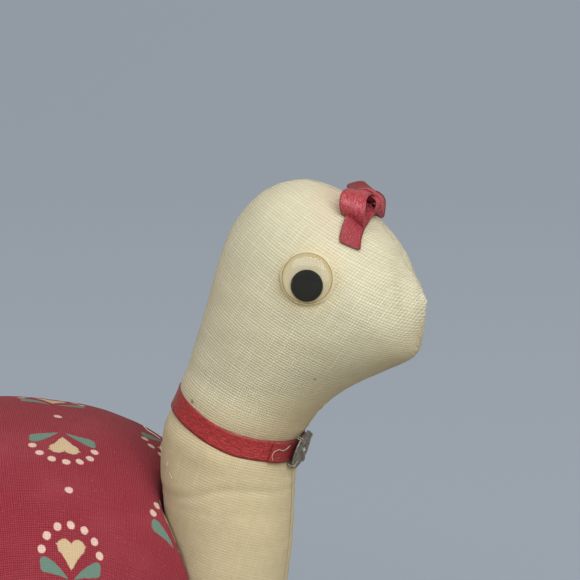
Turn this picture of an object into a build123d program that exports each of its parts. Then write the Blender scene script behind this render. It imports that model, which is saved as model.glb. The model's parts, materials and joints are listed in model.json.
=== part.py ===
from build123d import *

import math
import os

# A stuffed calico turtle pincushion: a padded shell on a muslin belly, four legs, a tail, a long neck
# and a head with googly eyes, a ribbon bow and a ribbon collar. Millimetres. Z is up, X points to the
# snout and the origin is the centre of the belly's flat underside. Each stuffed part is a cloth skin
# round a core of filling.

# Cloth and gaps
CLOTH = 0.45  # muslin and calico skins
RIBBON_WIDTH = 3.2  # one eighth inch satin
RIBBON_THICK = 0.3
FILL_GAP = 0.05  # between a skin and its filling
NECK_GAP = 0.4  # between the neck and the dent that it stands in

# Shell and belly, turned about Z
CROWN_Z = 41.5
CROWN_RADIUS = 48.0
SHOULDER_START_R = 22.0  # where the flat crown turns into the shoulder
SHELL_R = 37.0
SEAM_R, SEAM_Z = 34.6, 7.2  # where the shell's edge is sewn to the belly
BELLY_FLAT_R = 27.0

# Neck and head: half width across, then the back and front points of each cross-section, as (x, z)
NECK_STATIONS = (
    (2.6, (35.2, 7.0), (40.6, 6.8)),
    (5.9, (31.9, 9.2), (44.0, 9.0)),
    (8.2, (29.6, 14.3), (46.2, 14.0)),
    (8.8, (28.8, 22.0), (46.6, 22.0)),
    (9.4, (28.0, 32.0), (47.0, 31.0)),
    (9.5, (28.6, 41.0), (48.0, 36.0)),
    (9.5, (30.9, 48.0), (50.0, 42.4)),
    (10.4, (33.2, 55.0), (52.6, 46.0)),
    (11.6, (35.4, 62.5), (56.0, 48.4)),
    (12.2, (38.8, 70.2), (59.2, 50.1)),
    (12.1, (44.4, 75.7), (61.2, 51.1)),
    (11.2, (51.0, 77.0), (63.0, 52.0)),
    (9.4, (57.0, 74.2), (64.4, 52.8)),
    (6.6, (61.6, 70.2), (65.2, 53.6)),
    (3.4, (64.6, 65.2), (65.8, 54.6)),
    (1.0, (66.4, 61.8), (66.1, 55.8)),
)

# Collar: a tilted slice of the neck
COLLAR_CENTRE = (38.9, 0.0, 41.4)
COLLAR_TILT = 19.0  # degrees that the throat side drops
COLLAR_LAP = 7.0  # how far the two ends overlap
COLLAR_THICK = 0.2  # pulled tight round the neck

# Snap half at the throat
SNAP_R, SNAP_THICK, SNAP_EDGE = 2.95, 0.4, 0.15
STUD_R, STUD_HIGH, STUD_EDGE = 0.85, 0.5, 0.25
SNAP_LIFT = 0.12  # the flat disc stands on the bulge of the ribbon
SNAP_THREAD_IN, SNAP_THREAD_OUT = 1.75, 3.2  # radii that each stitch runs between
SNAP_HOLE_R, SNAP_HOLE_PCD_R = 0.38, 1.9

# Googly eye
EYE_X, EYE_Z = 53.7, 64.7
EYE_TURN, EYE_LIFT = 14.0, 4.0  # degrees that it looks forward and up
EYE_R, EYE_BACK_THICK = 3.54, 0.5
WALL_R, WALL_THICK, WALL_HIGH = 3.38, 0.12, 0.85
DOME_HIGH = 1.9
FLANGE_THICK, FLANGE_ROOT = 0.2, 0.32  # heights of the flange's edge and of its root on the wall
EYE_BACK_EDGE = 0.1  # chamfer
PUPIL_R, PUPIL_THICK = 2.18, 0.35
PUPIL_LIFT = 0.1  # between the pupil and the back plate
PUPIL_SLACK = 0.1  # between the pupil's edge and the dome's wall
GLUE_R = 3.95
GLUE_DEEP, GLUE_PROUD = 1.2, 0.25  # under and over the back plate's underside
EYE_SINK = 0.3  # how far the back plate presses into the head

# Legs and tail
LEG_LENGTH, LEG_WIDTH, LEG_HIGH = 22.0, 15.0, 9.0
LEG_REACH = 38.5  # radius of the leg's centre
LEG_ANGLES = {"front_left": 50, "front_right": -50, "rear_left": 132, "rear_right": -132}
LEG_EDGE = 4.1  # rounding of its upper and lower edges
LEG_STITCH_R = 37.4  # radius that each leg's stitches are centred on
TAIL_ROOT_R, TAIL_TIP_R, TAIL_LENGTH, TAIL_Z = 4.2, 1.5, 17.0, 5.2
TAIL_ROOT_X = -30.0

# Threads
THREAD_R = 0.17
SEAM_STITCHES = 72
SEAM_STITCH = 2.0  # length of each
SEAM_LEAN = 0.5  # how far its ends stand in and out from the seam, as the skin slopes there
SEAM_COVERED = 17  # degrees either side of a leg, the neck or the tail with no stitch in view
LEG_STITCHES = 7
LEG_STITCH = 2.0
LEG_STITCH_STEP = 3.1  # degrees round the body

NECK_STITCH_LEVELS = (10.0, 12.5, 15.0, 17.5)
NECK_STITCH_BACK, NECK_STITCH_FRONT = 35.9, 38.4  # the x that each neck stitch runs between

# Bow on the crest of the head
BOW_INSIDE = (57.9, 0.0, 68.0)  # a point in the head, straight under the bow
BOW_SLOPE = 12.0  # degrees that the bow leans towards the snout
LOOP_REACH, LOOP_HIGH = 8.0, 4.6
LOOP_LIFT, LOOP_BITE = 0.9, 0.7  # how far the loops stand off the head, and reach into the knot
TAIL_REACH = 10.5
KNOT_WIDE, KNOT_HIGH, KNOT_EDGE = 2.6, 5.2, 0.9
TACK_SHIFT = 0.4

FAR = 200.0  # bigger than the whole object


def save(part, name):
    """Writes one finished piece as parts/NAME.step."""
    part.label = name
    export_step(part, f"parts/{name}.step")


def neck_form(inset):
    """The stuffed neck and head, drawn in by inset on every side, or out if it is negative."""
    last = len(NECK_STATIONS) - 1
    with BuildPart() as form:
        for i, (half_width, back, front) in enumerate(NECK_STATIONS):
            back_point, front_point = Vector(back[0], 0, back[1]), Vector(front[0], 0, front[1])
            chord = front_point - back_point
            along = Vector(-chord.Z, 0, chord.X).normalized()
            middle = (back_point + front_point) * 0.5
            if i in (0, last):
                middle += along * (inset if i == 0 else -inset)
            share = 0.35 if i == last else 1.0  # the snout's thin edge has no room for the full inset
            with BuildSketch(Plane(origin=middle, x_dir=chord, z_dir=along)):
                Ellipse(chord.length / 2 - inset, half_width - inset * share)
        loft()
    return form.part


def body_profile(inset):
    """Half section of the shell and belly together, drawn in by inset."""
    crown_r, shoulder_r0 = CROWN_RADIUS - inset, SHOULDER_START_R
    lean = math.asin(shoulder_r0 / CROWN_RADIUS)
    crown_centre_z = CROWN_Z - CROWN_RADIUS
    shoulder_radius = (SHELL_R - shoulder_r0) / (1 - math.sin(lean))
    reach = CROWN_RADIUS - shoulder_radius
    centre = (reach * math.sin(lean), crown_centre_z + reach * math.cos(lean))
    shoulder = shoulder_radius - inset
    crown_mid = (crown_r * math.sin(lean / 2), crown_centre_z + crown_r * math.cos(lean / 2))
    crown_end = (crown_r * math.sin(lean), crown_centre_z + crown_r * math.cos(lean))
    half = (math.pi / 2 + lean) / 2
    shoulder_mid = (centre[0] + shoulder * math.sin(half), centre[1] + shoulder * math.cos(half))
    widest = (centre[0] + shoulder, centre[1])
    seam = (SEAM_R - inset, SEAM_Z)
    with BuildSketch(Plane.XZ) as profile:
        with BuildLine():
            ThreePointArc((0, CROWN_Z - inset), crown_mid, crown_end)
            ThreePointArc(crown_end, shoulder_mid, widest)
            Spline(widest, seam, tangents=((0, -1), (-0.75, -1)))
            Spline(seam, (BELLY_FLAT_R, inset), tangents=((-0.35, -1), (-1, 0)))
            Polyline((BELLY_FLAT_R, inset), (0, inset), (0, CROWN_Z - inset))
        make_face()
    return profile


def body_form(inset):
    """Shell and belly as one closed form with the neck's dent in front, drawn in by inset."""
    profile = body_profile(inset)
    with BuildPart() as form:
        revolve(profile.sketch, axis=Axis.Z)
        add(neck_form(-(NECK_GAP + inset)), mode=Mode.SUBTRACT)
    return form.part


def above(part, plane):
    """The side of part that the plane's normal points to."""
    with BuildPart() as kept:
        add(part)
        split(bisect_by=plane, keep=Keep.TOP)
    return kept.part


def less(part, *tools):
    """part with every tool cut out of it."""
    with BuildPart() as cut:
        add(part)
        for tool in tools:
            add(tool, mode=Mode.SUBTRACT)
    return cut.part


def common(part, tool):
    """What part and tool share."""
    with BuildPart() as shared:
        add(part)
        add(tool, mode=Mode.INTERSECT)
    return shared.part


def bar(start, end, radius=THREAD_R):
    """One stitch: a round thread between two points."""
    start, end = Vector(start), Vector(end)
    with BuildPart() as stitch:
        with BuildSketch(Plane(origin=start, z_dir=end - start)):
            Circle(radius)
        extrude(amount=(end - start).length)
    return stitch.part


def outermost_edges(builder, plane):
    """The edges of a part that lie furthest out along a plane's normal."""
    return builder.edges().group_by(lambda edge: plane.to_local_coords(edge.center()).Z)[-1]


def eye_plane(side, head):
    """Plane of an eye's back plate; side is 1 for the left eye and -1 for the right one."""
    turn, lift = math.radians(EYE_TURN), math.radians(EYE_LIFT)
    normal = Vector(
        math.sin(turn) * math.cos(lift), side * math.cos(turn) * math.cos(lift), math.sin(lift)
    )
    hits = head.find_intersection_points(Axis((EYE_X, 0, EYE_Z), (0, side, 0)))
    surface = max((point for point, _ in hits), key=lambda point: side * point.Y)
    down = Vector(0, 0, -1)
    down = (down - normal * down.dot(normal)).normalized()
    return Plane(origin=surface - normal * EYE_SINK, x_dir=down, z_dir=normal)


def eye_pocket(plane):
    """The flat that an eye and its glue press into the head."""
    with BuildPart() as pocket:
        with BuildSketch(plane):
            Circle(GLUE_R)
        extrude(amount=EYE_R)
    return pocket.part


def make_eye(plane, name, head):
    """Back plate, clear dome, loose pupil and the glue bead of one googly eye."""
    with BuildPart() as back:
        with BuildSketch(plane):
            Circle(EYE_R)
        extrude(amount=EYE_BACK_THICK)
        chamfer(outermost_edges(back, plane), EYE_BACK_EDGE)
    save(back.part, f"{name}_eye_back")

    face = plane.offset(EYE_BACK_THICK)
    section = Plane(origin=face.origin, x_dir=face.x_dir, z_dir=-face.y_dir)
    inner_r = WALL_R - WALL_THICK
    with BuildPart() as dome:
        with BuildSketch(section):
            with BuildLine():
                Line((inner_r, 0), (EYE_R, 0))
                Polyline((EYE_R, 0), (EYE_R, FLANGE_THICK), (WALL_R, FLANGE_ROOT), (WALL_R, WALL_HIGH))
                Spline((WALL_R, WALL_HIGH), (0, DOME_HIGH), tangents=((0, 1), (-1, 0)))
                Line((0, DOME_HIGH), (0, DOME_HIGH - WALL_THICK))
                Spline((0, DOME_HIGH - WALL_THICK), (inner_r, WALL_HIGH), tangents=((1, 0), (0, -1)))
                Line((inner_r, WALL_HIGH), (inner_r, 0))
            make_face()
        revolve(axis=Axis(face.origin, face.z_dir))
    save(dome.part, f"{name}_eye_dome")

    drop = inner_r - PUPIL_R - PUPIL_SLACK
    with BuildPart() as pupil:
        with BuildSketch(face.offset(PUPIL_LIFT)):
            with Locations((drop, 0)):
                Circle(PUPIL_R)
        extrude(amount=PUPIL_THICK)
    save(pupil.part, f"{name}_pupil")

    with BuildPart() as glue:
        with BuildSketch(plane.offset(-GLUE_DEEP)):
            Circle(GLUE_R)
        extrude(amount=GLUE_DEEP + GLUE_PROUD)
        add(head, mode=Mode.SUBTRACT)
        add(back.part, mode=Mode.SUBTRACT)
    save(glue.part, f"{name}_eye_glue")


def make_body():
    """Shell skin, belly skin, their filling and the ladder stitches between them."""
    outer = body_form(0)
    skin = less(outer, body_form(CLOTH))
    seam = Plane.XY.offset(SEAM_Z)
    save(above(skin, seam), "shell_cover")
    save(above(skin, -seam), "belly_cover")
    save(body_form(CLOTH + FILL_GAP), "body_filling")

    step = 360 / SEAM_STITCHES
    covered = [*LEG_ANGLES.values(), 0, 180]  # where a leg, the neck or the tail hides the seam
    with BuildPart() as stitches:
        for i in range(SEAM_STITCHES):
            if min(abs((i * step - angle + 180) % 360 - 180) for angle in covered) < SEAM_COVERED:
                continue
            c, s = math.cos(math.radians(i * step)), math.sin(math.radians(i * step))
            low, top = SEAM_R - SEAM_LEAN, SEAM_R + SEAM_LEAN
            start, end = SEAM_Z - SEAM_STITCH / 2, SEAM_Z + SEAM_STITCH / 2
            add(bar((low * c, low * s, start), (top * c, top * s, end)))
    save(less(stitches.part, outer), "shell_seam_stitches")
    return outer


def leg_form(angle, inset):
    """One stuffed paddle leg, drawn in by inset, before the body is cut from it."""
    c, s = math.cos(math.radians(angle)), math.sin(math.radians(angle))
    base = Plane(origin=(LEG_REACH * c, LEG_REACH * s, inset), x_dir=(c, s, 0), z_dir=(0, 0, 1))
    with BuildPart() as leg:
        with BuildSketch(base):
            Ellipse(LEG_LENGTH / 2 - inset, LEG_WIDTH / 2 - inset)
        extrude(amount=LEG_HIGH - 2 * inset)
        fillet(leg.edges(), LEG_EDGE - inset / 2)
    return leg.part


def make_legs(body):
    """Four muslin legs with their fillings and the stitches that hold them under the shell's edge."""
    with BuildPart() as stitches:
        for name, angle in LEG_ANGLES.items():
            outer = less(leg_form(angle, 0), body)
            save(less(outer, leg_form(angle, CLOTH)), f"leg_{name}_cover")
            save(less(leg_form(angle, CLOTH + FILL_GAP), body), f"leg_{name}_filling")
            for i in range(LEG_STITCHES):
                turn = math.radians(angle + (i - (LEG_STITCHES - 1) / 2) * LEG_STITCH_STEP)
                c, s = math.cos(turn), math.sin(turn)
                upright = Axis((LEG_STITCH_R * c, LEG_STITCH_R * s, 0), (0, 0, 1))
                top = max(point.Z for point, _ in outer.find_intersection_points(upright))
                near, far = LEG_STITCH_R - LEG_STITCH / 2, LEG_STITCH_R + LEG_STITCH / 2
                add(bar((near * c, near * s, top), (far * c, far * s, top)))
            add(outer, mode=Mode.SUBTRACT)
        add(body, mode=Mode.SUBTRACT)
    save(stitches.part, "leg_stitches")


def tail_form(inset):
    """The stuffed tail, drawn in by inset: a blunt cone lying along -X."""
    root, tip = TAIL_ROOT_R - inset, TAIL_TIP_R - inset
    tip_x = TAIL_ROOT_X - TAIL_LENGTH
    with BuildPart() as tail:
        with BuildSketch(Plane.XZ):
            with BuildLine():
                Line((TAIL_ROOT_X, TAIL_Z), (TAIL_ROOT_X, TAIL_Z + root))
                Line((TAIL_ROOT_X, TAIL_Z + root), (tip_x, TAIL_Z + tip))
                RadiusArc((tip_x, TAIL_Z + tip), (tip_x - tip, TAIL_Z), -tip)
                Line((tip_x - tip, TAIL_Z), (TAIL_ROOT_X, TAIL_Z))
            make_face()
        revolve(axis=Axis((0, 0, TAIL_Z), (1, 0, 0)))
    return tail.part


def make_tail(body):
    """Muslin tail and its filling."""
    save(less(tail_form(0), tail_form(CLOTH), body), "tail_cover")
    save(less(tail_form(CLOTH + FILL_GAP), body), "tail_filling")


def make_neck():
    """Two mirrored muslin panels, sewn along the profile, and the filling inside them."""
    outer = neck_form(0)
    pockets = [eye_pocket(eye_plane(side, outer)) for side in (1, -1)]
    skin = less(outer, neck_form(CLOTH), *pockets)
    save(above(skin, -Plane.XZ), "neck_head_panel_left")
    save(above(skin, Plane.XZ), "neck_head_panel_right")
    save(neck_form(CLOTH + FILL_GAP), "neck_head_filling")
    head = less(outer, *pockets)
    for side, name in ((1, "left"), (-1, "right")):
        make_eye(eye_plane(side, outer), name, head)
    return outer


def make_neck_stitches(neck):
    """The hand stitches that close the neck's foot into its dent, on both sides."""
    with BuildPart() as stitches:
        for level in NECK_STITCH_LEVELS:
            middle = (NECK_STITCH_BACK + NECK_STITCH_FRONT) / 2
            sides = neck.find_intersection_points(Axis((middle, 0, level), (0, 1, 0)))
            for side in (min, max):
                y = side(point.Y for point, _ in sides)
                add(bar((NECK_STITCH_BACK, y, level), (NECK_STITCH_FRONT, y, level)))
        add(neck, mode=Mode.SUBTRACT)
    save(stitches.part, "neck_foot_stitches")


def collar_plane():
    """Plane of the collar, with x towards the throat."""
    tilt = math.radians(COLLAR_TILT)
    return Plane(origin=COLLAR_CENTRE, x_dir=(math.cos(tilt), 0, -math.sin(tilt)),
                 z_dir=(math.sin(tilt), 0, math.cos(tilt)))


def make_collar(neck):
    """Satin collar with lapped ends, and the snap half with its stitches at the throat."""
    plane = collar_plane()
    hits = neck.find_intersection_points(Axis(plane.origin, plane.x_dir))
    throat = max((point for point, _ in hits), key=lambda point: point.X)
    throat_plane = Plane(origin=throat, x_dir=plane.z_dir, z_dir=plane.x_dir)
    with BuildPart() as lap_zone:
        with BuildSketch(throat_plane.offset(-COLLAR_LAP / 2)):
            Rectangle(2 * RIBBON_WIDTH, COLLAR_LAP)
        extrude(amount=COLLAR_LAP)
    second_layer = common(neck_form(-2 * COLLAR_THICK), lap_zone.part)
    with BuildPart() as collar:
        add(neck_form(-COLLAR_THICK))
        add(second_layer)
        with BuildSketch(plane.offset(-RIBBON_WIDTH / 2)) as cut:
            Rectangle(FAR, FAR)
        extrude(to_extrude=cut.sketch, amount=RIBBON_WIDTH, mode=Mode.INTERSECT)
        add(neck, mode=Mode.SUBTRACT)
    save(collar.part, "collar_ribbon")

    snap_plane = throat_plane.offset(2 * COLLAR_THICK + SNAP_LIFT)
    with BuildPart() as snap:
        with BuildSketch(snap_plane):
            Circle(SNAP_R)
        extrude(amount=SNAP_THICK)
        fillet(outermost_edges(snap, snap_plane), SNAP_EDGE)
        with BuildSketch(snap_plane.offset(SNAP_THICK)):
            Circle(STUD_R)
        extrude(amount=STUD_HIGH)
        fillet(outermost_edges(snap, snap_plane), STUD_EDGE)
        with BuildSketch(snap_plane):
            with PolarLocations(SNAP_HOLE_PCD_R, 4, start_angle=45):
                Circle(SNAP_HOLE_R)
        extrude(amount=SNAP_THICK, mode=Mode.SUBTRACT)
    save(snap.part, "collar_snap")

    with BuildPart() as thread:
        for i in range(4):
            a = math.radians(45 + 90 * i)
            z = SNAP_THICK + THREAD_R
            spoke, height = Vector(math.cos(a), math.sin(a), 0), Vector(0, 0, z)
            start = snap_plane.from_local_coords(spoke * SNAP_THREAD_IN + height)
            end = snap_plane.from_local_coords(spoke * SNAP_THREAD_OUT + height)
            add(bar(start, end))
    save(thread.part, "snap_thread")


def bow_seat(neck):
    """Plane across the crest under the bow: x runs to the left, y out of the head, z down to the snout."""
    slope = math.radians(BOW_SLOPE)
    out = Vector(math.sin(slope), 0, math.cos(slope))
    hits = neck.find_intersection_points(Axis(BOW_INSIDE, out))
    crest = max((point for point, _ in hits), key=lambda point: point.Z)
    return Plane(origin=crest, x_dir=(0, 1, 0), z_dir=(math.cos(slope), 0, -math.sin(slope)))


def make_bow(neck):
    """Satin bow of one ribbon, with two loops, two tails and a knot, and the tack that holds it."""
    seat = bow_seat(neck)
    with BuildPart() as reach:
        with BuildSketch(seat.offset(-RIBBON_WIDTH / 2)):
            Rectangle(2 * TAIL_REACH, 2 * TAIL_REACH)
        extrude(amount=RIBBON_WIDTH)
    tails = common(less(neck_form(-RIBBON_THICK), neck), reach.part)
    with BuildPart() as bow:
        for side in (1, -1):
            with BuildSketch(seat.offset(-RIBBON_WIDTH / 2)):
                with Locations((side * (LOOP_REACH / 2 - LOOP_BITE), LOOP_LIFT + LOOP_HIGH / 2)):
                    Ellipse(LOOP_REACH / 2, LOOP_HIGH / 2)
                    Ellipse(LOOP_REACH / 2 - RIBBON_THICK, LOOP_HIGH / 2 - RIBBON_THICK, mode=Mode.SUBTRACT)
            extrude(amount=RIBBON_WIDTH)
        with BuildSketch(seat.offset(-KNOT_WIDE / 2)):
            with Locations((0, KNOT_HIGH / 2)):
                RectangleRounded(KNOT_WIDE, KNOT_HIGH, KNOT_EDGE)
        extrude(amount=KNOT_WIDE)
        add(tails)
        add(neck, mode=Mode.SUBTRACT)
    save(bow.part, "head_bow")
    with BuildPart() as tack:
        for shift in (-TACK_SHIFT, TACK_SHIFT):
            start = seat.from_local_coords(Vector(-KNOT_WIDE / 2, KNOT_HIGH + THREAD_R, shift))
            end = seat.from_local_coords(Vector(KNOT_WIDE / 2, KNOT_HIGH + THREAD_R, shift))
            add(bar(start, end))
    save(tack.part, "bow_tack_thread")


os.makedirs("parts", exist_ok=True)
body_outer = make_body()
make_legs(body_outer)
make_tail(body_outer)
neck_outer = make_neck()
make_neck_stitches(neck_outer)
make_collar(neck_outer)
make_bow(neck_outer)
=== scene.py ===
import json
from functools import partialmethod
from math import asin, cos, pi, radians, sin, sqrt

import bpy
import numpy as np
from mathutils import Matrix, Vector
from mathutils.bvhtree import BVHTree
from numpy.linalg import norm

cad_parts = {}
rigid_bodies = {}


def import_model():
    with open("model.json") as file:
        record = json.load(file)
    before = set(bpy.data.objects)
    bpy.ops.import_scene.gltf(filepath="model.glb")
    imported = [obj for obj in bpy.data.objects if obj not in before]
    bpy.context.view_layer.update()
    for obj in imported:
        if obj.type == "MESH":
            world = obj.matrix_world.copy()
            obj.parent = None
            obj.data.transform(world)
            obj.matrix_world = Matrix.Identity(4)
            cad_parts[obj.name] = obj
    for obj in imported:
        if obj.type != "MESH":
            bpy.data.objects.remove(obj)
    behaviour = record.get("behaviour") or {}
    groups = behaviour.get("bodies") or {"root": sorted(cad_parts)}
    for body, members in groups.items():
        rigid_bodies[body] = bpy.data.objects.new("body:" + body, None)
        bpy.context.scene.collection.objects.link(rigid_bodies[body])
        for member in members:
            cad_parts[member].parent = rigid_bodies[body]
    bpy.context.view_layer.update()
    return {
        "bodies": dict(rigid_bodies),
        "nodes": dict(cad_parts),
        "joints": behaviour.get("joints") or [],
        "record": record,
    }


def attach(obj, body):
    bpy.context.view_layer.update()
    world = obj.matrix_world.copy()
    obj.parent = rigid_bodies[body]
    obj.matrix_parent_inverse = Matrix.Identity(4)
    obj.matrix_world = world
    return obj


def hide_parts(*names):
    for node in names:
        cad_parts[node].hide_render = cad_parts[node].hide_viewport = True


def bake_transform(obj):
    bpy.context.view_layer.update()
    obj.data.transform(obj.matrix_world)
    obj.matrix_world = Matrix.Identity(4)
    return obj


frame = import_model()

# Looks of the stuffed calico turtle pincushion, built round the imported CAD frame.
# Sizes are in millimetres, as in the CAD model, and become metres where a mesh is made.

MM = 0.001
joints = {joint["name"]: joint for joint in frame["joints"]}

# Camera, floor and light
CAMERA_TARGET = (46.9, 0.0, 61.2)
CAMERA_DISTANCE = 260.0
CAMERA_AZIMUTH, CAMERA_ELEVATION = 20.0, 8.0  # degrees towards the snout from the right side, and up
CAMERA_LENS = 113.0  # for a 36 mm sensor
FLOOR_COLOUR, FLOOR_GLOW, FLOOR_BOUNCE = (0.09, 0.104, 0.118), (0.232, 0.268, 0.312), (0.24, 0.20, 0.13)
SKY_COLOUR, SKY_STRENGTH, BACKDROP = (1.0, 0.95, 0.84), 0.32, (0.32, 0.36, 0.42)
LAMPS = (  # name, place, width and height in metres, power and colour
    ("key", (0.28, -0.64, 0.62), (1.4, 0.5), 7.0, (1.0, 0.99, 0.98)),
    ("strip", (0.20, -0.42, 0.80), (1.3, 0.06), 2.0, (1.0, 0.93, 0.92)),
    ("fill", (0.75, -0.45, 0.20), (0.6, 0.6), 2.4, (1.0, 0.99, 0.97)),
)
LAMP_AIM = (0.03, 0.0, 0.04)

# Cloth, ribbon and thread
CLOTH, FILL_GAP = 0.45, 0.05
RIBBON_WIDTH, RIBBON_SHOWN = 3.2, 0.22  # a ribbon's width, and its thickness where it isn't pressed
THREAD_R = 0.17
GRAIN_BELOW, GRAIN_HEAD = 17.0, 31.0  # degrees that the neck's rows fall to the front, below and on the head
CLOTH_SIM_SCALE, SIM_FRAMES = 20.0, 20

# Shell and belly
CROWN_Z, CROWN_RADIUS, CROWN_END = 41.5, 48.0, 22.0
SHELL_R, SEAM_R, SEAM_Z = 37.0, 34.6, 7.2
BELLY_FLAT_R = 27.0
UNDER_LENGTH, SHELL_ARC = 5.0, 59.3  # the turn under to the seam, and the whole way from the top to the seam
GRAIN_TURN = radians(32.85)
NECK_CLEARANCE, DENT_SOFTNESS = 0.35, 1.2
SEAM_STITCHES, SEAM_COVERED = 72, 17
NECK_STITCH_LEVELS = (10.0, 12.5, 15.0, 17.5)
NECK_STITCH_BACK, NECK_STITCH_FRONT = 35.9, 38.4
FRAY_ENDS = ((-4.5, 39.0, 3.2), (-6.0, 37.6, 2.0), (-7.6, 35.8, 1.3), (-8.3, 34.2, 1.2), (5.0, 38.5, 2.6),
             (7.4, 35.2, 1.5))  # across, up and length

# Legs and tail
LEG_LENGTH, LEG_WIDTH, LEG_HIGH, LEG_REACH = 22.0, 15.0, 9.0, 38.5
LEG_ANGLES = {"front_left": 50, "front_right": -50, "rear_left": 132, "rear_right": -132}
LEG_STITCHES, LEG_STITCH_STEP, LEG_STITCH_OUT, LEG_STITCH_UP = 7, 2.7, 0.9, 0.7
LEG_START_PUFF = 0.3  # how full the two panels are before they are stuffed
TAIL_ROOT_R, TAIL_TIP_R, TAIL_LENGTH, TAIL_Z, TAIL_ROOT_X = 4.2, 1.5, 17.0, 5.2, -30.0

# Googly eyes
EYE_R, EYE_BACK_THICK = 3.54, 0.5
EYE_WALL_R, EYE_WALL_THICK, EYE_WALL_HIGH, EYE_DOME_HIGH = 3.38, 0.12, 0.85, 1.9
PUPIL_R, PUPIL_THICK, PUPIL_LIFT, PUPIL_SLACK = 2.18, 0.35, 0.1, 0.1
GLUE_RINGS = ((3.30, 0, -0.30, 0), (3.42, 0, -0.10, 0), (3.54, 0, -0.03, 0), (3.62, 0.2, -0.08, 0),
              (3.70, 0.6, None, 0.10), (3.80, 1.0, None, 0.02), (3.72, 0.9, None, -0.35))

# Collar plane, the lap of its ends (degrees from the throat to the right side) and the snap
COLLAR_CENTRE = np.array((38.9, 0.0, 41.4))
COLLAR_TILT = radians(19.0)
COLLAR_FORWARD = np.array((cos(COLLAR_TILT), 0.0, -sin(COLLAR_TILT)))
COLLAR_UP = np.array((sin(COLLAR_TILT), 0.0, cos(COLLAR_TILT)))
COLLAR_LAP_END, COLLAR_LAP_SPAN = 37.0, 50.0
COLLAR_RISES = ((155.0, 1.1, 42.0), (68.0, -0.35, 32.0))  # the angle, the rise there and how wide it is
COLLAR_SHADES = ((8.0, 0.6, 22.0), (170.0, 0.4, 30.0))  # where the ribbon is painted darker as shade, how much and how wide
SNAP_THICK, SNAP_PRESS = 0.4, 0.6
SNAP_THREAD_PATH = ((1.8, -0.35), (1.9, 0.12), (2.4, 0.08), (2.95, 0.0), (3.1, -0.9))  # out and up
SNAP_LOOP = ((34, -1.3), (36, -0.6), (35, 0.1), (31, 0.45), (27, 0.3), (23, 0.6), (20, 1.1))  # degrees, up
SNAP_PROFILE = ((0.0, 0.0), (2.80, 0.0), (2.92, 0.06), (2.95, 0.16), (2.90, 0.26), (2.76, 0.32), (2.3, 0.35),
                (1.9, 0.40), (1.6, 0.47), (1.4, 0.50), (1.2, 0.48), (1.05, 0.42), (0.88, 0.42), (0.85, 0.55),
                (0.82, 0.80), (0.70, 0.88), (0.40, 0.90), (0.0, 0.91))  # radius and height

# Bow: the two edges of each loop from the knot round and back, the tails' middle line and the knot
RIGHT_LOOP_BACK = ((57, -0.4, 74.9), (56.5, -0.8, 75.7), (56.5, -3, 76.2), (56.4, -5.2, 75.9),
                   (56.4, -6.3, 74.9), (56.5, -6.1, 73.4), (56.8, -4.6, 72.4), (57.1, -2.6, 72.8),
                   (57.2, -0.6, 73.9))
RIGHT_LOOP_FRONT = ((60.1, -0.4, 74.1), (60, -0.8, 75), (59.9, -2.6, 75.6), (59.8, -4.4, 75.2),
                    (60, -5.8, 74.1), (59.9, -6.1, 72.7), (59.5, -4.8, 71), (59.8, -2.8, 72.1),
                    (60.1, -0.6, 73.4))
LEFT_LOOP_BACK = ((56.8, 0.4, 74.9), (55.9, 0.8, 75.7), (54.5, 2.6, 76.1), (54.8, 4.6, 76.4),
                  (55.7, 6, 76.5), (56.4, 6.2, 75.9), (56.9, 5, 74.7), (56.7, 2.8, 74), (56.8, 0.6, 74.5))
LEFT_LOOP_FRONT = ((59.2, 0.4, 74), (58.7, 0.8, 74.7), (57.9, 2.6, 75.2), (58.1, 4.6, 75.3),
                   (58.5, 6, 74.8), (59.2, 6.2, 73.8), (59.2, 5.2, 71.6), (59.1, 2.8, 72.1),
                   (59.5, 0.6, 73.5))
BOW_TAIL = ((58.2, 74.3), (58.15, 73.0), (58.1, 71.4), (58.2, 69.9), (58.4, 68.7))
BOW_TAIL_ACROSS = (0.76, -0.22)  # across the ribbon, along X and Z
BOW_TAIL_SHADE, BOW_LEFT_TAIL_BACK = 0.3, 1.3
BOW_KNOT, KNOT_HALF, BOW_LEAN = (58.5, 0.0, 74.3), (1.9, 1.3, 1.7), radians(25.0)

# Neck and head outline: back point, front point (x, z), half thickness and how sharp the seams are
NECK_RINGS = (
    ((37.4, 6.4), (39.0, 6.4), 0.7, 1.0),
    ((34.6, 7.2), (41.4, 7.0), 3.4, 1.0),
    ((31.6, 9.5), (44.4, 9.3), 6.3, 1.0),
    ((29.4, 14.2), (45.3, 14.0), 8.2, 1.0),
    ((28.9, 19.5), (46.2, 19.5), 8.7, 1.0),
    ((28.2, 25.5), (46.9, 25.5), 9.1, 1.0),
    ((27.5, 31.5), (47.2, 30.8), 9.4, 1.0),
    ((27.4, 37.0), (47.3, 34.6), 9.5, 1.0),
    ((28.6, 42.3), (47.9, 37.8), 9.4, 1.0),
    ((31.0, 48.0), (49.6, 41.8), 9.5, 1.02),
    ((33.0, 53.5), (52.0, 44.75), 10.2, 1.04),
    ((34.8, 59.2), (55.0, 47.1), 11.1, 1.06),
    ((36.6, 65.4), (57.9, 48.8), 11.9, 1.06),
    ((39.2, 71.2), (60.2, 49.9), 12.3, 1.06),
    ((43.4, 75.5), (62.0, 50.8), 12.2, 1.06),
    ((48.9, 77.1), (63.5, 51.5), 11.5, 1.08),
    ((54.4, 75.5), (64.6, 52.1), 10.2, 1.10),
    ((59.0, 72.4), (65.3, 52.6), 8.4, 1.12),
    ((62.2, 69.1), (65.9, 53.4), 6.4, 1.12),
    ((64.1, 65.8), (66.2, 54.6), 4.3, 1.10),
    ((66.0, 63.0), (66.5, 56.2), 2.3, 1.0),
    ((67.2, 60.6), (66.8, 57.9), 0.0, 1.0),
)

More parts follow.
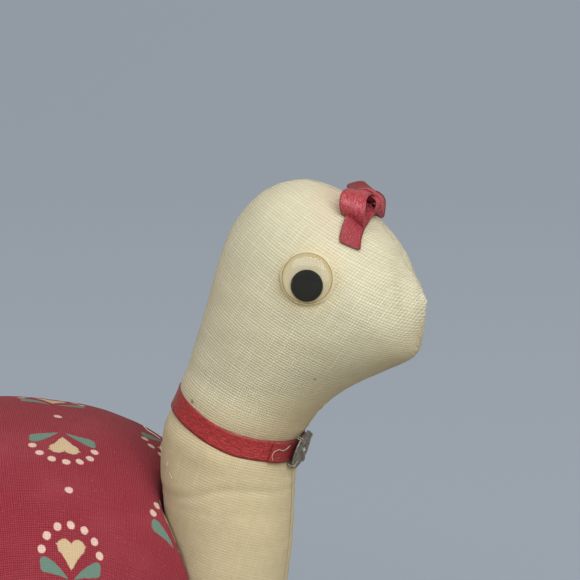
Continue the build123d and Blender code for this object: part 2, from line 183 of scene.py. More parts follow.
# Cloth: threads per pitch, the shell's print and the specks on the muslin (millimetres)
MUSLIN_PITCH_U, MUSLIN_PITCH_V, CALICO_PITCH = 0.35, 0.395, 0.31
PRINT_U, PRINT_V = 7.95, -36.6  # one heart's place on the cloth
PRINT_COLUMN, PRINT_ROW = 18.6, 20.2
SPECKS = ((35.0, -8.0, 45.7), (53.5, -8.0, 49.9), (34.6, -8.5, 34.9), (32.5, -7.5, 22.7), (41.3, -9.5, 58.4))
STAIN_SHADE_COLOURS = ((0.60, 0.47, 0.20), (0.66, 0.36, 0.28), (0.36, 0.27, 0.15))  # yellow glue stain and painted shade, pink dye, brown painted shade


def connect(node, inputs):
    """Sets a node's inputs: a Value or a socket is linked, anything else is a plain value."""
    for key, item in inputs.items():
        entry, item = node.inputs[key], getattr(item, "socket", item)
        if isinstance(item, bpy.types.NodeSocket):
            node.id_data.links.new(item, entry)
        elif entry.type == "RGBA":
            entry.default_value = (*item, 1.0)
        else:
            entry.default_value = item
    return node


def new_node(tree, kind, inputs=None, **settings):
    """A new shader node with its settings and inputs."""
    node = tree.nodes.new("ShaderNode" + kind)
    for key, value in settings.items():
        setattr(node, key, value)
    return connect(node, inputs or {})


class Value:
    """A number that varies over a surface: arithmetic on it makes shader nodes."""

    def __init__(self, socket):
        self.socket = socket
        self.tree = socket.id_data

    def math(self, operation, *others, clamp=False):
        inputs = dict(enumerate((self, *others)))
        return Value(new_node(self.tree, "Math", inputs, operation=operation, use_clamp=clamp).outputs[0])

    __add__ = __radd__ = partialmethod(math, "ADD")
    __sub__ = partialmethod(math, "SUBTRACT")
    __rsub__ = partialmethod(math, "MULTIPLY_ADD", -1.0)
    __mul__ = __rmul__ = partialmethod(math, "MULTIPLY")
    __truediv__ = partialmethod(math, "DIVIDE")
    __pow__ = partialmethod(math, "POWER")
    __abs__ = partialmethod(math, "ABSOLUTE")
    sine = partialmethod(math, "SINE")
    root = partialmethod(math, "SQRT")
    fraction = partialmethod(math, "FRACT")
    floor = partialmethod(math, "FLOOR")
    rounded = partialmethod(math, "ROUND")
    least = partialmethod(math, "MINIMUM")
    most = partialmethod(math, "MAXIMUM")

    def ramp(self, low, high):
        """0 below low and 1 above high, with a smooth step between; low may be the larger."""
        inputs = {"Value": self, "From Min": min(low, high), "From Max": max(low, high),
                  "To Min": float(low > high), "To Max": float(low < high)}
        node = new_node(self.tree, "MapRange", inputs, interpolation_type="SMOOTHSTEP")
        return Value(node.outputs["Result"])


def split(vector):
    """The x, y and z of a vector socket."""
    return [Value(output) for output in new_node(vector.id_data, "SeparateXYZ", {0: vector}).outputs]


def attribute(tree, name):
    """The x, y and z of a vector that the mesh holds for each point."""
    return split(new_node(tree, "Attribute", attribute_name=name).outputs["Vector"])


def object_place(tree, unit):
    """Where a point is on its object, in lumps of unit millimetres."""
    return [part / (unit * MM) for part in split(new_node(tree, "TexCoord").outputs["Object"])]


def away(a, b):
    """Length of the vector (a, b)."""
    return (a**2.0 + b**2.0).root()


def wave(value):
    """A sine wave from 0 to 1."""
    return value.sine() * 0.5 + 0.5


def noise(x, y, z=0.0, detail=2.0, roughness=0.5):
    """Smooth noise from 0 to 1, about one lump per unit of x, y and z."""
    place = new_node(x.tree, "CombineXYZ", {0: x, 1: y, 2: z}).outputs[0]
    inputs = {"Vector": place, "Scale": 1.0, "Detail": detail, "Roughness": roughness}
    return Value(new_node(x.tree, "TexNoise", inputs).outputs[0])


def blend(share, first, second):
    """first where share is 0 and second where it is 1. Each is a colour or a socket."""
    return new_node(share.tree, "Mix", {0: share, 6: first, 7: second}, data_type="RGBA").outputs[2]


def painted(colour, *layers):
    """A colour with others over it: each layer is its cover from 0 to 1 and its colour."""
    for cover, paint in layers:
        colour = blend(cover, colour, paint)
    return colour


def new_material(name, roughness, **inputs):
    """A Principled material and its node tree."""
    material = bpy.data.materials.new(name)
    material.use_nodes = True
    named = {key.replace("_", " ").title().replace("Ior", "IOR"): value for key, value in inputs.items()}
    connect(material.node_tree.nodes["Principled BSDF"], {"Roughness": roughness, **named})
    return material, material.node_tree


def finish(material, colour, height, depth, roughness=None):
    """Gives a material its colour and bumps, whose height from 0 to 1 stands for depth millimetres."""
    bump = new_node(height.tree, "Bump", {"Strength": 1.0, "Distance": depth * MM, "Height": height})
    inputs = {"Base Color": colour, "Normal": bump.outputs[0]}
    if roughness:
        inputs["Roughness"] = roughness
    connect(height.tree.nodes["Principled BSDF"], inputs)
    return material


def weave(u, v, pitch_u, pitch_v, seed):
    """Height from 0 to 1 of a plain weave of uneven threads, one each pitch_u of u and pitch_v of v."""
    sway_u = noise(u / (pitch_u * 2.6), v / (pitch_v * 16), seed, detail=1)
    sway_v = noise(u / (pitch_u * 16), v / (pitch_v * 2.6), seed + 9.0, detail=1)
    a = u / pitch_u + (sway_u - 0.5) * 1.1
    b = v / pitch_v + (sway_v - 0.5) * 1.1
    warp, weft = (1.0 - (run.fraction() * 2.0 - 1.0) ** 2.0 for run in (a, b))
    warp_over = wave((b + a.floor()) * pi)
    weft_over = wave((a + b.floor() + 1.0) * pi)
    return (warp * warp_over).most(weft * weft_over)


def speck_mask(tree, places, radius):
    """1 within about a radius of any of the places (in millimetres on the unbent cloth), 0 elsewhere."""
    here = new_node(tree, "Attribute", attribute_name="place").outputs["Vector"]
    mask = None
    for place in places:
        gap = new_node(tree, "VectorMath", {0: here, 1: place}, operation="DISTANCE").outputs["Value"]
        spot = Value(gap).ramp(radius * 1.5, radius * 0.5)
        mask = spot if mask is None else mask.most(spot)
    return mask


def muslin_material(name, stained_shaded=False):
    """Cream plain-woven muslin. A stained and shaded one has stains, painted shade and dark specks where the
    mesh says.
    """
    material, tree = new_material(name, 0.92, sheen_weight=0.08, sheen_roughness=0.6, specular_ior_level=0.3)
    u, v, crisp = attribute(tree, "cloth")
    height = weave(u, v, MUSLIN_PITCH_U, MUSLIN_PITCH_V, 3.0)
    slub = noise(u / 0.5, v / 6.0, 1.0).most(noise(u / 6.0, v / 0.5, 2.0))
    lump = noise(u / 9.0, v / 9.0, 5.0, detail=3)
    lit = height.ramp(0.1, 0.9) * crisp + (1.0 - crisp) * 0.78
    threads = blend(slub.ramp(0.45, 0.8), (0.64, 0.64, 0.50), (0.74, 0.76, 0.64))
    cloth = painted((0.49, 0.435, 0.27), (lit, threads), (lump.ramp(0.35, 0.75) * 0.35, (0.70, 0.65, 0.46)))
    if stained_shaded:
        rough = noise(u / 1.4, v / 1.4, 7.0, detail=4) * 0.8 + 0.6
        # stains and painted shade from the mesh: glue stain and dye, and shade painted low on the neck and
        # under the jaw
        marks = attribute(tree, "marks")
        cloth = painted(cloth, *((mark * rough, stain) for mark, stain in zip(marks, STAIN_SHADE_COLOURS)))
        specks = speck_mask(tree, SPECKS, 0.3) * noise(u / 0.25, v / 0.25, 8.0).ramp(0.25, 0.5)
        cloth = blend(specks * 0.8, cloth, (0.10, 0.075, 0.045))
    fibres = noise(u / 0.09, v / 0.09, 4.0, detail=2)
    return finish(material, cloth, (height * 0.85 + fibres * 0.15) * (crisp * 0.8 + 0.2), 0.10)


def calico_print(u, v):
    """Masks of the printed motifs: cream hearts, pale dots and green leaves, in half-dropped columns."""
    column = ((u - PRINT_U) / PRINT_COLUMN).rounded()
    x = u - PRINT_U - column * PRINT_COLUMN
    dropped = v - PRINT_V - column * (PRINT_ROW / 2)
    row = (dropped / PRINT_ROW).rounded()
    y = dropped - row * PRINT_ROW
    # every other row stands on its head
    flip = (row * 0.5).fraction().ramp(0.2, 0.3) * -2.0 + 1.0
    edge = (noise(u / 0.8, v / 0.8, 11.0) - 0.5) * 0.5
    side_x, side_y = x * flip, y * flip
    wide = abs(side_x)
    lobe = away(wide - 1.08, side_y - 0.85) - 1.15
    point = (wide - (side_y + 2.5) * 0.66).most(side_y - 1.25)
    heart = (lobe.least(point) + edge).ramp(0.12, -0.12)
    # seven dots stand round the heart and one between the hearts
    ring_y = side_y + 0.6
    turn = (side_x.math("ARCTAN2", ring_y) / 0.46).rounded().least(3.0).most(-3.0) * 0.46
    dot = away(side_x - turn.sine() * 4.8, ring_y - turn.math("COSINE") * 4.7)
    middle_dot = away(x, abs(y) - PRINT_ROW / 2)
    dots = (dot.least(middle_dot) - 0.62 + edge * 0.7).ramp(0.1, -0.1)
    share = ((wide - 0.5) / 4.6).math("ADD", 0.0, clamp=True)
    middle = (share * (pi / 2)).sine() * 1.9 - 3.7
    thick = share**0.8 * (1.0 - share**8.0).root() * 1.45
    leaf = (abs(side_y - middle) - thick).most((wide - 5.0).most(0.6 - wide))
    return heart, dots, (leaf + edge * 0.6).ramp(0.1, -0.1)


def calico_material():
    """Crimson calico with a small folk print, worn a little paler on its threads."""
    material, tree = new_material("calico", 0.95, sheen_weight=0.05, sheen_roughness=0.5,
                                  specular_ior_level=0.15)
    u, v, _ = attribute(tree, "cloth")
    height = weave(u, v, CALICO_PITCH, CALICO_PITCH, 21.0)
    heart, dots, leaves = calico_print(u, v)
    lump = noise(u / 12.0, v / 12.0, 13.0, detail=3)
    worn = noise(u / 0.35, v / 0.35, 17.0, detail=3).ramp(0.6, 0.8) * 0.4
    thin = height.ramp(0.0, 0.7) * 0.35 + 0.65
    cloth = painted((0.115, 0.010, 0.017), (height.ramp(0.1, 0.9), (0.345, 0.040, 0.060)),
                    (lump.ramp(0.4, 0.8) * 0.35, (0.36, 0.075, 0.10)), (worn, (0.55, 0.25, 0.26)),
                    (leaves * thin, (0.13, 0.25, 0.20)), (heart * thin, (0.60, 0.47, 0.30)),
                    (dots * thin, (0.72, 0.52, 0.45)))
    fibres = noise(u / 0.08, v / 0.08, 19.0, detail=2)
    return finish(material, cloth, height * 0.85 + fibres * 0.15, 0.08)


def satin_material(name, deep, bright, glint):
    """Satin ribbon: long floats along u, a woven edge each side, a soft glitter in its bumps and roughness,
    painted glints and painted shade.
    """
    material, tree = new_material(name, 0.38, sheen_weight=0.12, sheen_roughness=0.35, specular_ior_level=0.5)
    u, v, shadow = attribute(tree, "cloth")
    floats = noise(u / 0.9, v / 0.16, 2.0, detail=3)
    ribs = abs(v).ramp(1.15, 1.45) * wave(u * (2.0 * pi / 0.22))
    glitter = noise(u / 0.16, v / 0.16, 6.0, detail=1)
    # painted highlight: the glint colour is painted on bright glitter specks; painted shade: the shadow share
    # darkens the colour
    cloth = painted(deep, ((floats * 0.6 + glitter * 0.4).ramp(0.35, 0.7), bright), (ribs * 0.6, deep),
                    (glitter.ramp(0.56, 0.68) * floats.ramp(0.4, 0.6) * 0.45, glint),
                    (shadow * (floats * 0.5 + 0.75), tuple(c * 0.35 for c in deep)))
    return finish(material, cloth, floats * 0.5 + glitter * 0.5 + ribs * 0.4, 0.07, glitter * 0.35 + 0.25)


def thread_material(name, dark, light):
    """Twisted cotton thread."""
    material, tree = new_material(name, 0.85, sheen_weight=0.3)
    u, v, shadow = attribute(tree, "cloth")
    ply = wave((u / 0.35 + v * 2.0) * (2.0 * pi))
    fibre = noise(u / 0.3, v * 6.0, 2.0)
    cloth = painted(dark, (ply * 0.6 + fibre * 0.4, light), (shadow, tuple(c * 0.25 for c in dark)))
    return finish(material, cloth, ply * 0.7 + fibre * 0.3, 0.05)


def plain_noise_material(name, dark, light, roughness, grain, spread=0.15, **inputs):
    """A moulded or metal surface whose colour and roughness vary in lumps of grain millimetres."""
    material, tree = new_material(name, roughness, **inputs)
    lumps = noise(*object_place(tree, grain), detail=4, roughness=0.6)
    return finish(material, blend(lumps.ramp(0.35, 0.7), dark, light), lumps, 0.02,
                  lumps * spread + (roughness - spread / 2))


def filling_material():
    """White polyester fibre, tangled."""
    material, tree = new_material("filling", 0.95, sheen_weight=0.5, sheen_roughness=0.4)
    x, y, z = object_place(tree, 1.2)
    tangle = noise(x, y * 3.0, z, detail=6, roughness=0.7)
    tone = tangle * 0.5 + noise(x * 9.0, y * 2.0, z * 9.0, detail=3) * 0.5
    return finish(material, blend(tone.ramp(0.3, 0.7), (0.62, 0.61, 0.58), (0.88, 0.88, 0.86)), tone, 0.35)


def eye_white_material():
    """The back plate: off-white plastic, yellowed towards its rim where the glue shows through, and painted
    lighter there.
    """
    material, tree = new_material("eye_white", 0.45)
    a, b, _ = attribute(tree, "cloth")
    blotch = noise(a / 1.6, b / 1.6, 3.0, detail=3)
    # the rim is yellower and also painted lighter than the middle: painted light against the shade of the
    # dome's wall
    aged = (away(a, b) + (blotch - 0.5) * 1.2).ramp(1.9, 3.4)
    grain = noise(a / 0.25, b / 0.25, 5.0, detail=3)
    colour = blend(aged, (0.56, 0.54, 0.43), (0.60, 0.575, 0.44))
    return finish(material, colour, grain, 0.002, grain * 0.2 + 0.35)


def pupil_material():
    """Black moulded disc with pale crumbs of plastic on part of its edge."""
    material, tree = new_material("pupil_black", 0.6, specular_ior_level=0.15)
    a, b, h = attribute(tree, "cloth")
    grain = noise(a / 0.35, b / 0.35, h / 0.35, detail=4)
    crumbs = noise(a / 0.16, b / 0.16, 4.0, detail=1).ramp(0.62, 0.7) * away(a, b).ramp(1.85, 2.1)
    crumbs = crumbs * (b * -1.0 - abs(a) * 0.8).ramp(0.2, 1.0)
    colour = blend(grain.ramp(0.3, 0.7), (0.004, 0.007, 0.009), (0.008, 0.011, 0.013))
    return finish(material, blend(crumbs, colour, (0.7, 0.68, 0.62)), grain, 0.002, grain * 0.2 + 0.5)


def clear_material():
    """Thin clear plastic, aged to amber where it is thick at the wall and the rim, with a painted shade line
    where the wall meets the flange.
    """
    material, tree = new_material("clear_plastic", 0.5)
    tree.nodes.remove(tree.nodes["Principled BSDF"])
    a, b, h = attribute(tree, "cloth")
    radius = away(a, b)
    past = radius - EYE_WALL_R
    rim = past.ramp(-0.25, 0.0) + noise(a / 1.5, b / 1.5, h, detail=2) * 0.1
    wall = past.ramp(-0.2, -0.1) * h.ramp(0.2, 0.3)
    # painted shade: a darker amber line tinted where the wall meets the flange, for the dark line of the wall
    # seen edge-on
    wall_foot_shade = past.ramp(-0.04, 0.02) * past.ramp(0.12, 0.04)
    tint = painted((0.985, 0.975, 0.945), (rim, (0.975, 0.955, 0.89)), (wall, (0.98, 0.955, 0.89)),
                   (wall_foot_shade * h.ramp(0.5, 0.4), (0.80, 0.70, 0.48)))
    through = new_node(tree, "BsdfTransparent", {"Color": tint})
    gloss = new_node(tree, "BsdfGlossy", {"Color": (1.0, 0.97, 0.94), "Roughness": 0.14})
    edge = Value(new_node(tree, "Fresnel", {"IOR": 1.45}).outputs[0])
    # only the outer skin reflects: there the point lies on the outer ellipse
    crown = (h - EYE_WALL_HIGH).most(0.0) / (EYE_DOME_HIGH - EYE_WALL_HIGH)
    outer = ((radius / EYE_WALL_R) ** 2.0 + crown**2.0).ramp(0.945, 0.985)
    inputs = {0: edge.least(0.12) * outer, 1: through.outputs[0], 2: gloss.outputs[0]}
    connect(tree.nodes["Material Output"], {"Surface": new_node(tree, "MixShader", inputs).outputs[0]})
    return material


def new_piece(name, points, faces, material, body, nodes=None, fill=None, **layers):
    """A smooth mesh that stands for the CAD node of its name and rides on a body, or on none if body is None.
    The fill argument is not used."""
    nodes = [name] if nodes is None else nodes
    points = np.asarray(points, float).reshape(-1, 3)
    mesh = bpy.data.meshes.new(name)
    mesh.from_pydata((points * MM).tolist(), [], [list(map(int, face)) for face in faces])
    for label, values in {"place": points, **layers}.items():
        layer = mesh.attributes.new(label, "FLOAT_VECTOR", "POINT")
        layer.data.foreach_set("vector", np.asarray(values, np.float32).ravel())
    mesh.shade_smooth()
    mesh.materials.append(material)
    piece = bpy.data.objects.new(name, mesh)
    bpy.context.scene.collection.objects.link(piece)
    if body:
        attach(piece, body)
    if nodes:
        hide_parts(*nodes)
    return piece


def grid_faces(rows, columns, wrap=False):
    """Quads of a grid of points stored row by row; wrap joins the last column to the first."""
    faces = []
    for r in range(rows - 1):
        for c in range(columns if wrap else columns - 1):
            a, b = r * columns + c, r * columns + (c + 1) % columns
            faces.append((a, b, b + columns, a + columns))
    return faces


def closed_form(grid):
    """Points and faces of a grid of rings that is a closed skin: its first and last ring are filled in."""
    rings, spokes = grid.shape[:2]
    faces = grid_faces(rings, spokes, wrap=True)
    faces.append(tuple(range(spokes))[::-1])
    faces.append(tuple(range((rings - 1) * spokes, rings * spokes)))
    points = grid.reshape(-1, 3)
    inward = sum(np.dot(points[a], np.cross(points[b], points[c])) for a, b, c, *_ in faces) < 0
    return points, [face[::-1] for face in faces] if inward else faces


def cloth_sheet(grid, normal, depth, wrap=False, pole=False):
    """Points and faces of cloth depth thick under a grid, closed all round its rim.
    With wrap it has two rims, or with pole one, and the first row is filled in."""
    rows, columns = grid.shape[:2]
    back = grid - normal * depth[..., None]
    points = np.concatenate([grid.reshape(-1, 3), back.reshape(-1, 3)])
    faces = grid_faces(rows, columns, wrap)
    last = (rows - 1) * columns
    ring = [(c, (c + 1) % columns) for c in range(columns if wrap else columns - 1)]
    rim = [(last + b, last + a) for a, b in ring]
    if pole:
        faces.append(tuple(range(columns))[::-1])
    else:
        rim += ring
    if not wrap:
        side = [(r * columns, (r + 1) * columns) for r in range(rows - 1)]
        rim += [(b, a) for a, b in side] + [(a + columns - 1, b + columns - 1) for a, b in side]
    count = rows * columns
    under = [tuple(i + count for i in face)[::-1] for face in faces]
    faces = faces + under + [(b, a, a + count, b + count) for a, b in rim]
    corners = faces[len(ring) * (rows // 2)][:3]
    a, b, c = points[list(corners)]
    if np.cross(b - a, c - b) @ normal.reshape(-1, 3)[corners[0]] < 0:
        faces = [face[::-1] for face in faces]
    return points, faces


def vectors(*parts):
    """Vectors from their parts, which are numbers or arrays that fit together."""
    return np.stack(np.broadcast_arrays(*parts), -1)


def disc_cloth(run, turn):
    """Cloth coordinates of a round panel: the way from its centre along the cloth, and the direction."""
    return vectors(run * np.cos(turn), run * np.sin(turn), 1.0)


def circle(count):
    """Angles of count points round a circle."""
    return np.linspace(0, 2 * pi, count, endpoint=False)


def run_along(points, axis=0):
    """Length along rows of points, from 0."""
    return np.insert(np.cumsum(norm(np.diff(points, axis=axis), axis=-1), axis=axis), 0, 0.0, axis=axis)


def twice(values):
    """Values of a grid for both faces of a cloth sheet."""
    flat = np.asarray(values).reshape(-1, 3)
    return np.concatenate([flat, flat])


def smooth_table(rows, count):
    """count rows along a smooth curve through the given rows (Catmull-Rom)."""
    rows = np.asarray(rows, float)
    padded = np.vstack([2 * rows[0] - rows[1], rows, 2 * rows[-1] - rows[-2]])
    t = np.linspace(0, len(rows) - 1, count)
    i = np.minimum(t.astype(int), len(rows) - 2)
    f = (t - i)[:, None]
    a, b, c, d = (padded[i + k] for k in range(4))
    return 0.5 * (2 * b + (c - a) * f + (2 * a - 5 * b + 4 * c - d) * f**2 + (3 * b - a - 3 * c + d) * f**3)


def ripple(points, wavelength, seed, stretch=(1.0, 1.0, 1.0), count=20):
    """Smooth random waves from about -1 to 1; stretch lengthens the waves along each axis."""
    draw = np.random.default_rng(seed)
    direction = draw.normal(size=(count, 3))
    direction /= norm(direction, axis=1)[:, None]
    length = wavelength * draw.uniform(0.7, 1.5, count)
    phase = draw.uniform(0, 2 * pi, count)
    scaled = np.asarray(points, float) / np.asarray(stretch)
    return np.sin(scaled @ (direction * (2 * pi / length)[:, None]).T + phase).sum(-1) / sqrt(count)


def grid_normals(grid, wrap=False):
    """Unit normals of a grid of points with shape (rows, columns, 3)."""
    if wrap:
        wide = np.concatenate([grid[:, -1:], grid, grid[:, :1]], 1)
        return grid_normals(wide)[:, 1:-1]
    along, across = np.gradient(grid, axis=0), np.gradient(grid, axis=1)
    normal = np.cross(along, across)
    return normal / np.maximum(norm(normal, axis=2, keepdims=True), 1e-9)


def outward(grid, centre, wrap=True):
    """Unit normals of a grid that lies round a centre, pointing away from it."""
    normal = grid_normals(grid, wrap)
    return normal * np.sign((normal * (grid - centre)).sum())


def bell(distance, width):
    """1 at distance 0, falling off smoothly."""
    return np.exp(-((distance / width) ** 2))


def twisted_thread(path, radius=THREAD_R, pitch=1.1, shade=0.0):
    """Points, faces and cloth coordinates of a two-ply thread along a path."""
    path = np.asarray(path, float)
    fine = smooth_table(path, max(8, int(run_along(path)[-1] / 0.12)))
    run = run_along(fine)
    ahead = np.gradient(fine, axis=0)
    ahead /= norm(ahead, axis=1)[:, None]
    across = np.cross(ahead, np.eye(3)[np.argmin(np.abs(ahead).mean(0))])
    across /= norm(across, axis=1)[:, None]
    upward = np.cross(across, ahead)
    turn = circle(10)
    ply = 1 + 0.16 * np.cos(2 * (turn - run[:, None] * (2 * pi / pitch)))
    grid = fine[:, None] + radius * ply[..., None] * (
        np.cos(turn)[:, None] * across[:, None] + np.sin(turn)[:, None] * upward[:, None])
    points, faces = closed_form(grid)
    return points, faces, vectors(run[:, None], turn / (2 * pi), shade).reshape(-1, 3)


def arched(start, end, out, rise, sink):
    """A stitch: a path that comes up at start, arches over and goes down at end."""
    start, end, out = (np.asarray(p, float) for p in (start, end, out))
    return [start - out * sink, start + out * rise * 0.7, (start + end) / 2 + out * rise,
            end + out * rise * 0.7, end - out * sink]


def joined_piece(name, parts, material, body, nodes=None):
    """One piece from several sets of points, faces and cloth coordinates."""
    points, faces, cloth = zip(*parts)
    start = np.cumsum([0] + [len(part) for part in points])
    faces = [[i + first for i in face] for first, part in zip(start, faces) for face in part]
    return new_piece(name, np.concatenate(points), faces, material, body, nodes, cloth=np.concatenate(cloth))


# The materials
muslin = muslin_material("muslin")
muslin_stained_shaded = muslin_material("muslin_stained_shaded", stained_shaded=True)
calico = calico_material()
collar_satin = satin_material("collar_satin", (0.20, 0.009, 0.014), (0.52, 0.045, 0.05), (0.72, 0.16, 0.15))
bow_satin = satin_material("bow_satin", (0.27, 0.018, 0.033), (0.52, 0.075, 0.10), (0.92, 0.45, 0.44))
thread = thread_material("thread", (0.55, 0.48, 0.34), (0.80, 0.74, 0.60))
red_thread = thread_material("red_thread", (0.26, 0.03, 0.04), (0.48, 0.08, 0.10))
filling = filling_material()
snap_metal = plain_noise_material(
    "snap_metal", (0.16, 0.155, 0.155), (0.36, 0.36, 0.37), 0.5, 0.5, spread=0.25, metallic=0.7
)
eye_white = eye_white_material()
pupil_black = pupil_material()
glue_material = plain_noise_material("glue", (0.70, 0.64, 0.47), (0.80, 0.75, 0.60), 0.3, 0.8, alpha=0.88)
clear_plastic = clear_material()


def collar_frame(angle):
    """Unit vector out from the collar's centre at an angle from the throat, positive to the right side."""
    angle = np.asarray(angle)[..., None]
    return COLLAR_FORWARD * np.cos(angle) + np.array((0.0, -1.0, 0.0)) * np.sin(angle)


def eye_frame(side):
    """Centre of an eye's face, its normal, and the directions down and across it."""
    joint = joints[side + "_pupil_roll"]
    centre = np.array(joint["pos_m"]) / MM
    normal = np.array(joint["axis"])
    down = np.array((0.0, 0.0, -1.0))
    down -= normal * (down @ normal)
    down /= norm(down)
    return centre, normal, down, np.cross(normal, down)


def neck_grid(side, rows=300, columns=56):
    """Points and pattern coordinates of one panel; side is 1 for the left panel and -1 for the right."""
    ring = smooth_table([(*back, *front, wide, sharp) for back, front, wide, sharp in NECK_RINGS], rows)
    back, front = vectors(ring[:, 0], 0.0, ring[:, 1]), vectors(ring[:, 2], 0.0, ring[:, 3])
    half_width = np.maximum(ring[:, 4], 0.0)
    middle, half = (back + front) / 2, (front - back) / 2
    turn = np.linspace(0, pi, columns)
    grid = middle[:, None] + half[:, None] * np.cos(turn)[:, None]
    grid[..., 1] = side * half_width[:, None] * np.sin(turn) ** ring[:, 5:]
    # pattern coordinates: arc length across the panel, on a centre line bent to turn the grain
    run = run_along(grid, axis=1)
    arc = run[:, -1:] / 2 - run
    chord = half / norm(half, axis=1)[:, None]
    turned = np.clip((middle[:, 2] - 38.0) / 16.0, 0, 1)
    grain = np.radians(GRAIN_BELOW + (GRAIN_HEAD - GRAIN_BELOW) * turned)[:, None]
    c, s = np.cos(grain), np.sin(grain)
    x = middle[:, None, 0] + arc * chord[:, None, 0] - 40.0
    z = middle[:, None, 2] + arc * chord[:, None, 2] - 45.0
    crisp = np.clip(0.62 + (grid[..., 2] - 38.0) / 30.0, 0.5, 1.0)
    return grid, vectors(x * c - z * s, x * s + z * c, crisp), turn, half_width


def panel_normals(grid, side):
    """Unit normals of a neck panel; at its seams they are those of the next column."""
    normal = grid_normals(grid) * (-side)
    normal[:, 0], normal[:, -1] = normal[:, 1], normal[:, -2]
    return normal


def shape_neck(grid, turn, side):
    """Adds what sewing and stuffing do: seam puckers, the collar's nip, faint creases and hollows."""
    girth = run_along(grid, axis=1)[:, -1:]
    edge = np.minimum(turn, pi - turn) / pi * girth
    along = run_along(grid[:, 28])
    pucker = np.sin(along * (2 * pi / 2.1) + 1.2 * ripple(grid[:, 28], 7.0, 8))
    lift = -0.06 * bell(edge, 0.45) + 0.07 * pucker[:, None] * bell(edge - 0.9, 1.2)
    lift += 0.10 * ripple(grid, 13.0, 3) + 0.045 * ripple(grid, 4.5, 4, stretch=(2.0, 2.0, 1.0))
    above = (grid - COLLAR_CENTRE) @ COLLAR_UP
    lift += -0.42 * bell(above, 1.9) + 0.16 * bell(above - 3.6, 1.9) + 0.20 * bell(above + 3.6, 1.9)
    throat = COLLAR_CENTRE + COLLAR_FORWARD * 9.6
    lift -= SNAP_PRESS * bell(norm(grid - throat, axis=2), 3.6)
    # two creases across the neck, and a short one back from the snout's upper corner
    x, z = grid[..., 0], grid[..., 2]
    crease = z - 32.4 - 0.9 * np.sin(x * 0.33 + 0.5)
    lift += -0.10 * bell(crease, 0.55) + 0.06 * bell(crease - 1.4, 0.9)
    lift -= 0.06 * bell(z - 29.8 + 0.06 * (x - 38), 0.5)
    lift -= 0.10 * bell(z - 67.0 + 0.25 * (x - 64.4), 0.35) * bell(x - 64.4, 1.6)
    taper = np.clip(norm(np.diff(grid[:, [0, -1]], axis=1), axis=2) / 8.0, 0, 1)
    return grid + panel_normals(grid, side) * (lift * taper * np.sin(turn) ** 0.3)[..., None]


def fade(value, start, end):
    """0 at start and 1 at end, straight between."""
    return np.clip((value - start) / (end - start), 0, 1)


def neck_marks(points):
    """How yellow, pink and brown the muslin is: glue round the eyes, dye by the bow, painted shade low on the
    neck and under the jaw.
    """
    x, z = points[:, 0], points[:, 2]
    # painted shade: yellower low on the neck where the head shades it, partly yellowing of the cloth too
    yellow = 0.36 * fade(z, 50.0, 40.0)
    for side in ("left", "right"):
        away = norm(points - eye_frame(side)[0], axis=1)
        yellow += 0.18 * bell(away - 3.9, 0.9) + 0.06 * bell(away, 7.0)
    pink = 0.30 * bell(norm((points - (56.0, 0.0, 75.0)) / (1.0, 2.0, 1.4), axis=1), 4.5)
    pink += 0.10 * bell((points - COLLAR_CENTRE) @ COLLAR_UP, 3.0)
    # painted shade: brown under the jaw and low on the neck where the head shades it, and browner at the back
    # of the neck low down
    jaw = z - 42.5 - 0.62 * (x - 50.0)
    brown = 0.42 * bell(np.maximum(jaw, 0.0), 4.0) * fade(x, 42.0, 47.0) * fade(z, 38.0, 43.0)
    brown += 0.32 * fade(z, 47.0, 39.0) + 0.16 * bell(z - 17.0, 12.0) * fade(x, 34.0, 29.0)
    return vectors(yellow, pink, brown)


def bend_at_foot(piece):
    """The neck's foot is sewn to the shell; this only bakes the piece's placement into its mesh."""
    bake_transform(piece)


def make_neck():
    """The two muslin panels of the neck and head with the filling inside.
    Returns a search tree of their surface, in millimetres."""
    points_all, faces_all, cores = [], [], []
    for name, side in (("left", 1), ("right", -1)):
        grid, cloth, turn, half_width = neck_grid(side)
        grid = shape_neck(grid, turn, side)
        # the cloth lies flat under each eye
        for eye in ("left", "right"):
            centre, normal = eye_frame(eye)[:2]
            offset = grid - (centre - normal * 0.55)
            out = offset @ normal
            press = np.clip((4.9 - norm(offset - out[..., None] * normal, axis=-1)) / 1.2, 0, 1)
            grid = grid - normal * (np.maximum(out, 0) * (out < 2.5) * press)[..., None]
        normal = panel_normals(grid, side)
        normal[:, [0, -1], 1] = 0.0
        normal /= np.maximum(norm(normal, axis=2, keepdims=True), 1e-9)
        room = np.clip(half_width / 2.0, 0.02, 1.0)[:, None] * np.ones((1, grid.shape[1]))
        points, faces = cloth_sheet(grid, normal, CLOTH * room)
        bend_at_foot(new_piece("neck_head_panel_" + name, points, faces, muslin_stained_shaded, None, fill=0.9,
                               cloth=twice(cloth), marks=neck_marks(points)))
        count = len(points_all) * grid[..., 0].size
        faces_all += [[i + count for i in face] for face in grid_faces(*grid.shape[:2])]
        points_all.append(grid.reshape(-1, 3))
        core = (grid - normal * ((CLOTH + FILL_GAP * 2) * room)[..., None])[3:-8:3, 1:-1:2]
        cores.append(core if side > 0 else core[:, ::-1])
    bend_at_foot(new_piece("neck_head_filling", *closed_form(np.concatenate(cores, 1)), filling, None))
    return BVHTree.FromPolygons(np.concatenate(points_all).tolist(), faces_all)


def surface_point(tree, start, direction):
    """Where a ray first meets a surface, and the surface's normal facing the ray. None if it misses."""
    place, normal = tree.ray_cast(Vector(start), Vector(direction))[:2]
    if place is None:
        return None, None
    normal = np.array(normal)
    return np.array(place), -normal if normal @ np.asarray(direction) > 0 else normal


